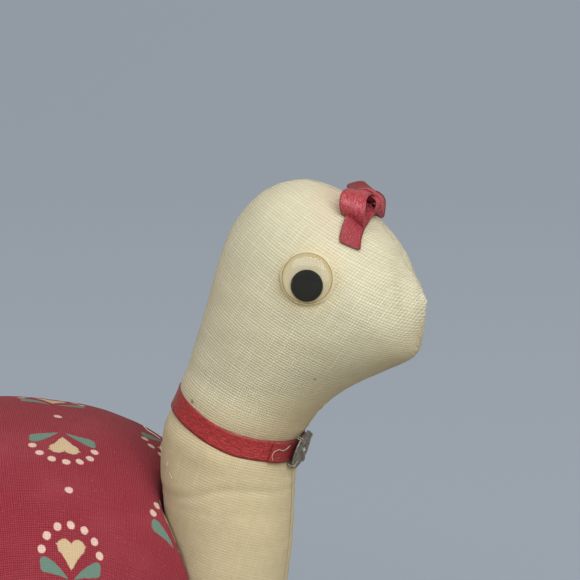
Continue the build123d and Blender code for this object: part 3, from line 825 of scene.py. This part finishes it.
def make_neck_stitches(neck):
    """Hand stitches that close the neck's foot into its dent, on both sides."""
    parts = []
    for i, level in enumerate(NECK_STITCH_LEVELS):
        for side in (1, -1):
            ends = [surface_point(neck, (x, side * 30.0, level + lean), (0, -side, 0))
                    for x, lean in ((NECK_STITCH_BACK, 0.0), (NECK_STITCH_FRONT, 0.35 * (-1) ** i))]
            (start, normal), (end, _) = ends
            parts.append(twisted_thread(arched(start, end, normal, THREAD_R + 0.08, 0.3)))
    bend_at_foot(joined_piece("neck_foot_stitches", parts, thread, None))


# Shell profile: crown arc, shoulder arc and the turn under to the seam
def shell_profile(arc):
    """Radius and height on the shell at an arc length from its top, as arrays."""
    lean = asin(CROWN_END / CROWN_RADIUS)
    shoulder = (SHELL_R - CROWN_END) / (1 - sin(lean))
    reach = CROWN_RADIUS - shoulder
    centre = (reach * sin(lean), CROWN_Z - CROWN_RADIUS + reach * cos(lean))
    crown_length = CROWN_RADIUS * lean
    shoulder_length = shoulder * (pi / 2 - lean)
    turn = lean + (arc - crown_length) / shoulder
    under = np.clip((arc - crown_length - shoulder_length) / UNDER_LENGTH, 0, 1)
    radius = np.where(arc < crown_length, CROWN_RADIUS * np.sin(arc / CROWN_RADIUS),
                      centre[0] + shoulder * np.sin(np.minimum(turn, pi / 2)))
    height = np.where(arc < crown_length, CROWN_Z - CROWN_RADIUS * (1 - np.cos(arc / CROWN_RADIUS)),
                      centre[1] + shoulder * np.cos(np.minimum(turn, pi / 2)))
    fall = centre[1] - SEAM_Z
    radius = radius - (SHELL_R - SEAM_R) * under**2
    height = height - fall * under * (1.15 - 0.15 * under)
    return radius, height


def belly_profile(share):
    """Radius and height on the belly, from the seam at share 0 round to the edge of the flat at 1."""
    share = np.asarray(share, float)
    a, b = np.array((SEAM_R, SEAM_Z)), np.array((BELLY_FLAT_R, 0.0))
    out, into = np.array((-2.2, -8.5)), np.array((-9.0, 0.0))
    t = share[..., None]
    point = ((2 * t**3 - 3 * t**2 + 1) * a + (t**3 - 2 * t**2 + t) * out
             + (3 * t**2 - 2 * t**3) * b + (t**3 - t**2) * into)
    return point[..., 0], point[..., 1]


def body_radius(height):
    """Radius of the sewn body at a height, for what is sewn against it."""
    levels = np.linspace(0, 1, 60)
    belly_r, belly_z = belly_profile(levels)
    shell_r, shell_z = shell_profile(np.linspace(40.0, SHELL_ARC, 80))
    z = np.concatenate([belly_z[::-1], shell_z[::-1]])
    return np.interp(height, z, np.concatenate([belly_r[::-1], shell_r[::-1]]))


def seam_gathers(turn):
    """Gather folds round the body's seam, from about -1 to 1, and finer pleats between them."""
    rim = vectors(np.cos(turn), np.sin(turn), 0.0) * SHELL_R
    warp = turn + 0.10 * ripple(rim, 30.0, 31)
    return np.abs(np.sin(warp * 23)) ** 0.7 - 0.6, np.sin(warp * 61 + 2 * ripple(rim, 12.0, 33))


def press_by_neck(grid, neck):
    """Wherever the body's cloth would be inside the neck, it lies against the neck's back instead."""
    flat = grid.reshape(-1, 3)
    for i in np.flatnonzero((flat[:, 0] > 22) & (np.abs(flat[:, 1]) < 13)):
        x, y, z = flat[i]
        hit = neck.ray_cast(Vector((-20.0, y, z)), Vector((1, 0, 0)))[0]
        if hit is None:
            continue
        excess = x - (hit[0] - NECK_CLEARANCE)
        flat[i, 0] = x - 0.5 * (excess + sqrt(excess * excess + DENT_SOFTNESS))
    return flat.reshape(grid.shape)


def make_body(neck):
    """The printed shell, gathered at its edge and dented by the neck, the belly, and the filling in them."""
    turn = circle(400)
    folds, fine = seam_gathers(turn)
    around = vectors(np.cos(turn), np.sin(turn))
    middle = (0, 0, 15.0)

    arc = (SHELL_ARC * np.linspace(0.004, 1, 130))[:, None]
    radius, height = shell_profile(arc)
    grid = vectors(radius * around[:, 0], radius * around[:, 1], height)
    pattern = disc_cloth(arc, turn - GRAIN_TURN)
    gather = np.clip((arc - 40.0) / 19.0, 0, 1) ** 1.6
    lift = gather * (0.75 * folds + 0.22 * fine * gather)
    lift = lift + 0.16 * ripple(grid, 22.0, 35) + 0.05 * ripple(grid, 7.0, 36)
    shell = grid + outward(grid, middle) * (lift * np.clip(arc / 6.0, 0, 1))[..., None]
    shell = press_by_neck(shell, neck)

    belly_r, belly_z = belly_profile(np.linspace(0, 1, 34))
    flat_r = np.linspace(BELLY_FLAT_R, 0.2, 40)[1:]
    profile = vectors(np.append(belly_r, flat_r), np.append(belly_z, 0 * flat_r))
    radius, height = profile[:, :1], profile[:, 1:]
    grid = vectors(radius * around[:, 0], radius * around[:, 1], height)
    run = run_along(profile)[:, None]
    grid[..., :2] += around * (bell(run, 5.0) * (0.75 * folds + 0.22 * fine))[..., None]
    grid[..., 2] += 0.35 * np.abs(ripple(grid, 16.0, 37)) * np.clip(run / 4.0, 0, 1)
    grid[0] = shell[-1]
    belly = press_by_neck(grid, neck)
    belly[..., 2] = np.maximum(belly[..., 2], 0.02)

    for name, sheet, cloth, material in (
        ("shell_cover", shell, pattern, calico),
        ("belly_cover", belly[::-1], disc_cloth(run[-1] - run[::-1], turn), muslin),
    ):
        points, faces = cloth_sheet(sheet, outward(sheet, middle), np.full(sheet.shape[:2], CLOTH),
                                    wrap=True, pole=True)
        new_piece(name, points, faces, material, "body", fill=0.85, cloth=twice(cloth))
    whole = np.concatenate([shell, belly[1:]])
    core = (whole - outward(whole, middle) * (CLOTH + FILL_GAP * 4))[4:-3:4, ::4]
    new_piece("body_filling", *closed_form(core), filling, "body")
    return shell, belly


def make_seam_stitches(shell, belly):
    """Whip stitches from the belly up over the seam to the shell, where no leg, tail or neck covers it."""
    spokes = shell.shape[1]
    parts = []
    for i in range(SEAM_STITCHES):
        degrees = i * 360 / SEAM_STITCHES
        gaps = [abs((degrees - angle + 180) % 360 - 180) for angle in (*LEG_ANGLES.values(), 0, 180)]
        if min(gaps) < SEAM_COVERED:
            continue
        c = round(degrees / 360 * spokes)
        start, end = belly[3, c % spokes], shell[-4, (c + 5) % spokes]
        out = np.array((cos(radians(degrees)), sin(radians(degrees)), -0.1))
        lift = max(0.0, (shell[-1, c % spokes] - (start + end) / 2) @ out) + THREAD_R + 0.05
        parts.append(twisted_thread(arched(start, end, out, lift, 0.25)))
    joined_piece("shell_seam_stitches", parts, thread, "body")


def inflate(grid, pressure, cap, seed):
    """Cloth simulation: a closed form of rings is blown up as stuffing does. No point moves over cap."""
    points, faces = closed_form(grid)
    start = points + 0.05 * ripple(points, 5.0, seed)[:, None]
    mesh = bpy.data.meshes.new("stuffing")
    mesh.from_pydata((start * MM * CLOTH_SIM_SCALE).tolist(), [], faces)
    form = bpy.data.objects.new("stuffing", mesh)
    scene = bpy.context.scene
    scene.collection.objects.link(form)
    cloth = form.modifiers.new("cloth", "CLOTH")
    for name, value in (("quality", 5), ("tension_stiffness", 25.0), ("compression_stiffness", 25.0),
                        ("bending_stiffness", 0.4), ("use_pressure", True),
                        ("uniform_pressure_force", pressure)):
        setattr(cloth.settings, name, value)
    cloth.settings.effector_weights.gravity = 0.0
    cloth.point_cache.frame_start, cloth.point_cache.frame_end = 1, SIM_FRAMES
    for frame in range(1, SIM_FRAMES + 1):
        scene.frame_set(frame)
    shaped = form.evaluated_get(bpy.context.evaluated_depsgraph_get())
    result = np.empty(len(points) * 3)
    shaped.data.vertices.foreach_get("co", result)
    bpy.data.objects.remove(form)
    bpy.data.meshes.remove(mesh)
    scene.frame_set(1)
    move = result.reshape(-1, 3) / (MM * CLOTH_SIM_SCALE) - points
    length = norm(move, axis=1)[:, None]
    move *= np.minimum(1.0, cap / np.maximum(length, 1e-6))
    return (points + move).reshape(grid.shape)


def stuffed_leg(seed):
    """A leg about its own centre, x along it: two flat panels sewn round the rim, then stuffed."""
    share = np.sin(np.linspace(0.02, 1, 22) * pi / 2)
    ring = np.append(share, share[-2::-1])[:, None]
    upper = np.append(-np.ones(22), np.ones(21))[:, None]
    turn = circle(132)
    puff = LEG_HIGH * LEG_START_PUFF * (1 - ring**2.6) ** 0.6
    grid = vectors(LEG_LENGTH / 2 * ring * np.cos(turn), LEG_WIDTH / 2 * ring * np.sin(turn), puff * upper)
    grid = inflate(grid * (1.06, 1.08, 1.0), 4.0, 3.0, seed)
    pucker = bell(1 - ring, 0.13) * np.sin(turn * 34 + 1.5 * np.sin(turn * 3 + seed))
    grid[..., 2] *= 1 - 0.05 * pucker
    grid[..., :2] *= (1 + 0.010 * pucker)[..., None]
    return grid * np.array((LEG_LENGTH, LEG_WIDTH, LEG_HIGH)) / (grid.max((0, 1)) - grid.min((0, 1)))


def make_legs(shell, belly):
    """Four stuffed muslin legs, flat where they rest and pressed against the body, with their stitches."""
    parts = []
    whole = np.concatenate([shell, belly[1:]])
    body = BVHTree.FromPolygons(whole.reshape(-1, 3).tolist(), grid_faces(*whole.shape[:2], wrap=True))
    for number, (name, angle) in enumerate(LEG_ANGLES.items()):
        grid = stuffed_leg(50 + number)
        bottom = grid[..., 2].min() + 0.9
        grid[..., 2] = np.maximum(grid[..., 2], bottom + 0.12 * (grid[..., 2] - bottom))
        grid[..., 2] -= grid[..., 2].min()
        grid[..., 2] *= LEG_HIGH / grid[..., 2].max()
        run = run_along(grid)
        pattern = disc_cloth(np.minimum(run, run[-1] - run), np.arctan2(grid[..., 1], grid[..., 0]))
        c, s = cos(radians(angle)), sin(radians(angle))
        x, y = LEG_REACH + grid[..., 0], grid[..., 1]
        turned = vectors(x * c - y * s, x * s + y * c, grid[..., 2] + 0.02)
        normal = outward(turned, (LEG_REACH * c, LEG_REACH * s, 4.0))
        covers = []
        for inset in (0.0, CLOTH + FILL_GAP * 2):
            shape = turned - normal * inset
            wall = body_radius(shape[..., 2]) + 0.1 + inset
            push = np.maximum(wall / np.maximum(np.hypot(shape[..., 0], shape[..., 1]), 1e-6), 1.0)
            covers.append(shape * vectors(push, push, 1.0))
        points, faces = closed_form(covers[0])
        new_piece(f"leg_{name}_cover", points, faces, muslin, "body", fill=0.8, cloth=pattern)
        tree = BVHTree.FromPolygons(points.tolist(), faces)
        new_piece(f"leg_{name}_filling", *closed_form(covers[1][::2, ::3]), filling, "body")
        for i in range(LEG_STITCHES):
            turn = radians(angle + (i - (LEG_STITCHES - 1) / 2) * LEG_STITCH_STEP)
            out = np.array((cos(turn), sin(turn), 0.0))
            wall = surface_point(body, out * 60.0 + (0, 0, LEG_HIGH - 0.5), -out)[0]
            root = surface_point(tree, wall + out * LEG_STITCH_OUT + (0, 0, 20.0), (0, 0, -1))[0]
            if root is None:
                continue
            wall = surface_point(body, out * 60.0 + (0, 0, root[2] + LEG_STITCH_UP), -out)[0]
            across = (out + np.array((0, 0, 1.0))) / sqrt(2)
            parts.append(twisted_thread(arched(root, wall, across, THREAD_R + 0.05, 0.25)))
    joined_piece("leg_stitches", parts, thread, "body")


def make_tail():
    """The stuffed muslin tail: a tapering form with a seam along each side, pressed against the body."""
    share = np.linspace(0, 1, 90)[:, None]
    turn = circle(72)
    round_off = np.sqrt(np.clip(1 - np.clip((share - 0.9) / 0.1, 0, 0.999) ** 2, 0, 1))
    radius = (TAIL_ROOT_R + (TAIL_TIP_R - TAIL_ROOT_R) * share) * round_off
    grid = vectors(TAIL_ROOT_X - (TAIL_LENGTH + TAIL_TIP_R) * share, radius * np.cos(turn),
                   TAIL_Z + radius * np.sin(turn))
    grid = inflate(grid, 3.0, 0.8, 61)
    seam = bell(np.sin(turn), 0.22)
    pucker = np.sin(share * 48 + 1.5 * np.sin(share * 9))
    lift = -0.22 * seam + 0.10 * seam * pucker + 0.06 * ripple(grid, 5.0, 62)
    axis = vectors(grid[..., 0], 0.0, TAIL_Z)
    out = grid - axis
    out += out / np.maximum(norm(out, axis=2, keepdims=True), 0.3) * lift[..., None]
    for label, inset in (("cover", 0.0), ("filling", CLOTH + FILL_GAP * 2)):
        slim = np.clip(1 - inset / np.maximum(radius, inset + 0.05), 0.02, 1)
        shape = axis + out * slim[..., None]
        wall = np.sqrt(np.maximum(body_radius(shape[..., 2]) ** 2 - shape[..., 1] ** 2, 1.0)) + 0.1 + inset
        shape[..., 0] = np.minimum(shape[..., 0] + inset * share, -wall)
        if label == "cover":
            pattern = vectors(grid[..., 0], turn * radius, 1.0)
            new_piece("tail_cover", *closed_form(shape), muslin, "body", fill=0.8, cloth=pattern)
        else:
            new_piece("tail_filling", *closed_form(shape[::3, ::3]), filling, "body")


def turned_piece(name, profile, place, material, spokes=96, body="neck"):
    """A piece turned about an axis; the profile is (radius, height) from one end of the axis to the other.
    Its place is the centre, the axis and two directions across it."""
    centre, normal, down, across = place
    profile = np.maximum(np.asarray(profile, float), (0.01, -9.0))
    radius, turn = profile[:, :1], circle(spokes)
    local = vectors(radius * np.cos(turn), radius * np.sin(turn), profile[:, 1:])
    grid = centre + local[..., :1] * down + local[..., 1:2] * across + local[..., 2:] * normal
    new_piece(name, *closed_form(grid), material, body, cloth=local)


def curve_points(start, end, count):
    """Points on a quarter of an ellipse from (radius, low) up and in to (0, high)."""
    turn = np.linspace(0, pi / 2, count)
    return [(start[0] * cos(t), start[1] + (end - start[1]) * sin(t)) for t in turn]


def make_eyes(neck):
    """The googly eyes: back plate, clear dome, loose pupil and a bead of glue under each."""
    inner = EYE_WALL_R - EYE_WALL_THICK
    drop = inner - PUPIL_R - PUPIL_SLACK
    low, high = PUPIL_LIFT, PUPIL_LIFT + PUPIL_THICK
    plate = [(0, -EYE_BACK_THICK), (EYE_R - 0.1, -EYE_BACK_THICK), (EYE_R - 0.02, -EYE_BACK_THICK + 0.06),
             (EYE_R, -0.25), (EYE_R - 0.02, -0.06), (EYE_R - 0.1, -0.01), (3.0, -0.01), (1.5, 0.0), (0, 0)]
    outer = curve_points((EYE_WALL_R, EYE_WALL_HIGH), EYE_DOME_HIGH, 40)
    under = curve_points((inner, EYE_WALL_HIGH), EYE_DOME_HIGH - EYE_WALL_THICK, 30)
    flange = [(inner, 0.02), (EYE_R - 0.03, 0.02), (EYE_R, 0.06), (EYE_R, 0.16), (EYE_R - 0.04, 0.2),
              (EYE_WALL_R + 0.05, 0.24), (EYE_WALL_R, 0.32)]
    dome = under[::-1] + flange + outer
    disc = [(0, low), (PUPIL_R - 0.07, low), (PUPIL_R - 0.01, low + 0.05), (PUPIL_R, low + 0.12),
            (PUPIL_R, high - 0.1), (PUPIL_R - 0.03, high - 0.03), (PUPIL_R - 0.1, high),
            (PUPIL_R * 0.6, high + 0.01), (PUPIL_R * 0.25, high + 0.02), (0, high + 0.02)]
    turn = circle(144)
    rim = vectors(np.cos(turn), np.sin(turn), 0.0) * 4
    spread = 0.14 * ripple(rim, 4.0, 71) + 0.05 * ripple(rim, 1.5, 72)
    for side in ("left", "right"):
        centre, *axes = eye_frame(side)
        normal, down, across = axes
        turned_piece(side + "_eye_back", plate, (centre, *axes), eye_white)
        turned_piece(side + "_eye_dome", dome, (centre, *axes), clear_plastic, spokes=128)
        turned_piece(side + "_pupil", disc, (centre + down * drop, *axes), pupil_black, body=side + "_pupil")
        rows = []
        # each ring of the bead: radius, how far it spreads, height from the eye's face or from the cloth
        for radius, share, lift, above in GLUE_RINGS:
            ring = []
            for t, more in zip(turn, spread):
                place = centre + (down * cos(t) + across * sin(t)) * (radius + more * share)
                hit = surface_point(neck, place + normal * 3.0, -normal)[0]
                level = -0.6 if hit is None else (hit - centre) @ normal
                ring.append(place + normal * (level + above if lift is None else lift))
            rows.append(ring)
        rows.append([centre + (np.array(p) - centre) * 0.86 - normal * 0.5 for p in rows[0]])
        new_piece(side + "_eye_glue", *closed_form(np.array(rows)), glue_material, "neck")


def ribbon(grid, normal, level, shade, run=None):
    """Points, faces and cloth coordinates of ribbon under a grid; level is the way across it."""
    run = run_along(grid[:, grid.shape[1] // 2]) if run is None else run
    points, faces = cloth_sheet(grid, normal, np.full(grid.shape[:2], RIBBON_SHOWN))
    return points, faces, twice(vectors(run[:, None], level, np.broadcast_to(shade, grid.shape[:2])))


def humps(angle, places):
    """Sum of smooth humps round the collar: the angle of each in degrees, its size and how wide it is."""
    return sum(size * bell(np.abs((np.degrees(angle) - place + 180) % 360 - 180), width)
               for place, size, width in places)


def make_collar(neck):
    """Satin ribbon round the neck with lapped ends, following the neck's surface, and the snap's thread."""
    rows, columns = 560, 9
    angle = radians(COLLAR_LAP_END) - np.linspace(0, radians(360 + COLLAR_LAP_SPAN), rows)[:, None]
    level = np.linspace(-RIBBON_WIDTH / 2, RIBBON_WIDTH / 2, columns)
    reach = np.empty((rows, columns))
    for i, a in enumerate(angle[:, 0]):
        out = collar_frame(a)
        for j, h in enumerate(level):
            base = COLLAR_CENTRE + COLLAR_UP * h
            reach[i, j] = (surface_point(neck, base + out * 30.0, -out)[0] - base) @ out
    # a ribbon is straight across its width: fit a line to each row
    mean = reach.mean(1, keepdims=True)
    slope = ((reach - mean) @ level) / (level @ level)
    reach = 0.75 * (mean + slope[:, None] * level) + 0.25 * reach
    kernel = np.hanning(15) / np.hanning(15).sum()
    padded = np.concatenate([reach[:7][::-1], reach, reach[-7:][::-1]])
    reach = np.stack([np.convolve(padded[:, j], kernel, "valid") for j in range(columns)], 1)
    # the first end lies over the second
    over = 1 - np.clip((radians(COLLAR_LAP_END - COLLAR_LAP_SPAN) - angle) / radians(16.0), 0, 1)
    over = over * over * (3 - 2 * over)
    lift = RIBBON_SHOWN + 0.10 + over * (RIBBON_SHOWN + 0.06)
    waves = 0.05 * ripple(vectors(angle * 9.5, 0.0, 0.0), 6.0, 81)
    fray = np.zeros((rows, columns))
    fray[0] = np.random.default_rng(82).uniform(-0.004, 0.008, columns)
    base = COLLAR_CENTRE + COLLAR_UP * (level + humps(angle, COLLAR_RISES))[..., None]
    grid = base + collar_frame(angle + fray) * (reach + lift + waves)[..., None]
    normal = outward(grid, COLLAR_CENTRE, wrap=False)
    points, faces, cloth = ribbon(grid, normal, level, humps(angle, COLLAR_SHADES))
    new_piece("collar_ribbon", points, faces, collar_satin, "neck", cloth=cloth)
    surface = BVHTree.FromPolygons(points.tolist(), faces)
    # the snap half, pressed on the lap, and the thread over its rim at its four holes
    hit = surface_point(surface, COLLAR_CENTRE + COLLAR_FORWARD * 30.0, -COLLAR_FORWARD)[0]
    back = hit + COLLAR_FORWARD * 0.03
    sideways = np.array((0.0, 1.0, 0.0))
    turned_piece("collar_snap", SNAP_PROFILE, (back, COLLAR_FORWARD, -COLLAR_UP, sideways), snap_metal)
    parts = []
    for i in range(4):
        a = radians(45 + 90 * i)
        spoke = COLLAR_UP * cos(a) + sideways * sin(a)
        for shift in (-0.16, 0.16):
            side = back + np.cross(COLLAR_FORWARD, spoke) * shift
            path = [side + spoke * far + COLLAR_FORWARD * (SNAP_THICK + rise)
                    for far, rise in SNAP_THREAD_PATH]
            parts.append(twisted_thread(path, 0.075, 0.6, shade=0.7))
    # a loose loop of the same thread shows beside the snap on the lapped end
    path = []
    for degrees, h in SNAP_LOOP:
        out = collar_frame(radians(degrees))
        path.append(surface_point(surface, COLLAR_CENTRE + COLLAR_UP * h + out * 30.0, -out)[0] + out * 0.08)
    parts.append(twisted_thread(path, 0.04, 0.4, shade=0.1))
    joined_piece("snap_thread", parts, thread, "neck")


def bow_loop(near, far, shade, rows=90, columns=11):
    """One loop of the bow, between the curves of its two edges."""
    near, far = smooth_table(near, rows)[:, None], smooth_table(far, rows)[:, None]
    share = np.linspace(0, 1, columns)[:, None]
    grid = near * (1 - share) + far * share
    normal = grid_normals(grid)
    grid = grid + normal * (RIBBON_SHOWN / 2 - 0.12 * (1 - (2 * share - 1) ** 2))
    return ribbon(grid, normal, (share[:, 0] - 0.5) * RIBBON_WIDTH, shade)


def bow_tail(neck, side, rows=60, columns=9):
    """A tail that lies on the side of the head under a loop and ends in a slanted cut."""
    share = np.linspace(0, 1, rows)
    level = np.linspace(-RIBBON_WIDTH / 2, RIBBON_WIDTH / 2, columns)
    grid = np.empty((rows, columns, 3))
    for i, (x, z) in enumerate(smooth_table(BOW_TAIL, rows)):
        for j, v in enumerate(level):
            place = (x + v * BOW_TAIL_ACROSS[0] - (0.0 if side > 0 else BOW_LEFT_TAIL_BACK),
                     z + v * BOW_TAIL_ACROSS[1] - share[i] ** 8 * 0.45 * v / RIBBON_WIDTH)
            hit = surface_point(neck, (place[0], -side * 40.0, place[1]), (0, side, 0))[0]
            grid[i, j] = hit if hit is not None else (place[0], 0.0, place[1])
    normal = grid_normals(grid)
    normal *= -side * np.sign(normal[rows // 2, columns // 2, 1])
    off = 0.30 + (0.9 if side > 0 else 0.2) * bell(share, 0.45) + 0.25 * share**3
    return ribbon(grid + normal * off[:, None, None], normal, level, BOW_TAIL_SHADE)


def make_bow(neck):
    """Satin bow on the crest: two drooping loops, two tails on the head, a knot and its tack thread."""
    parts = [bow_loop(RIGHT_LOOP_BACK, RIGHT_LOOP_FRONT, 0.0), bow_tail(neck, 1),
             bow_loop(LEFT_LOOP_FRONT, LEFT_LOOP_BACK, 0.6), bow_tail(neck, -1)]
    # the knot: the ribbon wrapped once round the waist of the bow, across its width
    knot = np.array(BOW_KNOT)
    along = np.array((cos(BOW_LEAN), 0, -sin(BOW_LEAN)))
    upward = np.array((sin(BOW_LEAN), 0, cos(BOW_LEAN)))
    turn = np.linspace(0, 2 * pi, 73)
    across = np.linspace(-1, 1, 9)[:, None]
    length, height = (half * np.sign(share) * np.abs(share) ** 0.8
                      for half, share in zip(KNOT_HALF, (np.cos(turn), np.sin(turn))))
    grid = length[:, None, None] * along + height[:, None, None] * upward + across * (0.0, KNOT_HALF[2], 0.0)
    grid = knot + grid * (1 + 0.10 * (1 - across**2))
    normal = outward(grid, knot, wrap=False)
    grid = grid + normal * (0.05 * np.sin(across * 7.0))
    parts.append(ribbon(grid, normal, across[:, 0] * 1.5, 0.0, run=turn * KNOT_HALF[0]))
    joined_piece("head_bow", parts, bow_satin, "neck")
    parts = []
    for y in (-0.35, 0.3):
        path = [knot + along * KNOT_HALF[0] * 1.15 * cos(t) + upward * KNOT_HALF[1] * 1.22 * sin(t)
                + np.array((0, y + 0.1 * sin(3 * t), 0)) for t in np.linspace(-0.5, pi + 0.5, 9)]
        parts.append(twisted_thread(path, 0.13, 0.8))
    joined_piece("bow_tack_thread", parts, red_thread, "neck")


def make_frays(neck):
    """Frayed thread ends where the neck is sewn into the shell."""
    draw = np.random.default_rng(91)
    parts = []
    for y, z, length in FRAY_ENDS:
        path = [surface_point(neck, (-20.0, y, z), (1, 0, 0))[0] + (-0.35, 0, 0)]
        drift = np.array((-0.8, draw.uniform(-0.5, 0.5), draw.uniform(0.1, 0.9)))
        for _ in range(4):
            drift = drift + draw.normal(0, 0.35, 3)
            path.append(path[-1] + drift / norm(drift) * length / 4)
        parts.append(twisted_thread(path, 0.045, 0.4))
    joined_piece("frayed_ends", parts, thread, "neck", ())


def by_ray(tree, lit, seen):
    """The colour lit where light bounces, and the colour seen where the camera looks straight at it."""
    return blend(Value(new_node(tree, "LightPath").outputs["Is Camera Ray"]), lit, seen)


def make_stage():
    """A plain pale floor that curves up into a backdrop behind the object."""
    near, far, bend, top, wide = -900.0, 700.0, 500.0, 1500.0, 1600.0
    profile = [(near, 0.0), (far, 0.0)]
    profile += [(far + bend * sin(a), bend * (1 - cos(a))) for a in np.linspace(0.1, pi / 2, 14)]
    profile.append((far + bend, top))
    points = [(x, y, z) for y, z in profile for x in (-wide, wide)]
    material, tree = new_material("floor", 0.95)
    tone = noise(*object_place(tree, 400.0), detail=1)
    colour = blend(tone, FLOOR_COLOUR, tuple(c * 0.97 for c in FLOOR_COLOUR))
    connect(tree.nodes["Principled BSDF"], {"Base Color": colour, "Emission Strength": 1.0,
                                            "Emission Color": by_ray(tree, FLOOR_BOUNCE, FLOOR_GLOW)})
    new_piece("floor", points, grid_faces(len(profile), 2), material, None, ())


def make_light():
    """A wide window-like key from above, a narrow bright strip in it, a weak fill and an even sky."""
    world = bpy.data.worlds.new("world")
    world.use_nodes = True
    bpy.context.scene.world = world
    # the warm sky lights the object, and where the camera sees past the floor it looks like the floor
    shown = tuple(c / SKY_STRENGTH for c in BACKDROP)
    colour = by_ray(world.node_tree, SKY_COLOUR, shown)
    connect(world.node_tree.nodes["Background"], {"Color": colour, "Strength": SKY_STRENGTH})
    for name, place, size, power, colour in LAMPS:
        lamp = bpy.data.lights.new(name, "AREA")
        lamp.shape = "RECTANGLE"
        lamp.size, lamp.size_y = size
        lamp.energy, lamp.color = power, colour
        holder = bpy.data.objects.new(name, lamp)
        holder.location = place
        holder.rotation_euler = (Vector(LAMP_AIM) - Vector(place)).to_track_quat("-Z", "Y").to_euler()
        bpy.context.scene.collection.objects.link(holder)


def make_camera():
    """A camera on the turtle's right, a little in front of it and above."""
    a, e = radians(CAMERA_AZIMUTH), radians(CAMERA_ELEVATION)
    away = Vector((sin(a) * cos(e), -cos(a) * cos(e), sin(e)))
    camera = bpy.data.objects.new("camera", bpy.data.cameras.new("camera"))
    camera.data.lens = CAMERA_LENS
    camera.data.sensor_width = 36.0
    camera.data.clip_start = 0.01
    camera.location = (Vector(CAMERA_TARGET) + away * CAMERA_DISTANCE) * MM
    camera.rotation_euler = (-away).to_track_quat("-Z", "Y").to_euler()
    bpy.context.scene.collection.objects.link(camera)
    bpy.context.scene.camera = camera


make_camera()
make_light()
make_stage()
neck_surface = make_neck()
shell_surface, belly_surface = make_body(neck_surface)
make_seam_stitches(shell_surface, belly_surface)
make_neck_stitches(neck_surface)
make_legs(shell_surface, belly_surface)
make_tail()
make_eyes(neck_surface)
make_collar(neck_surface)
make_bow(neck_surface)
make_frays(neck_surface)
bpy.context.scene.view_settings.view_transform = "Standard"
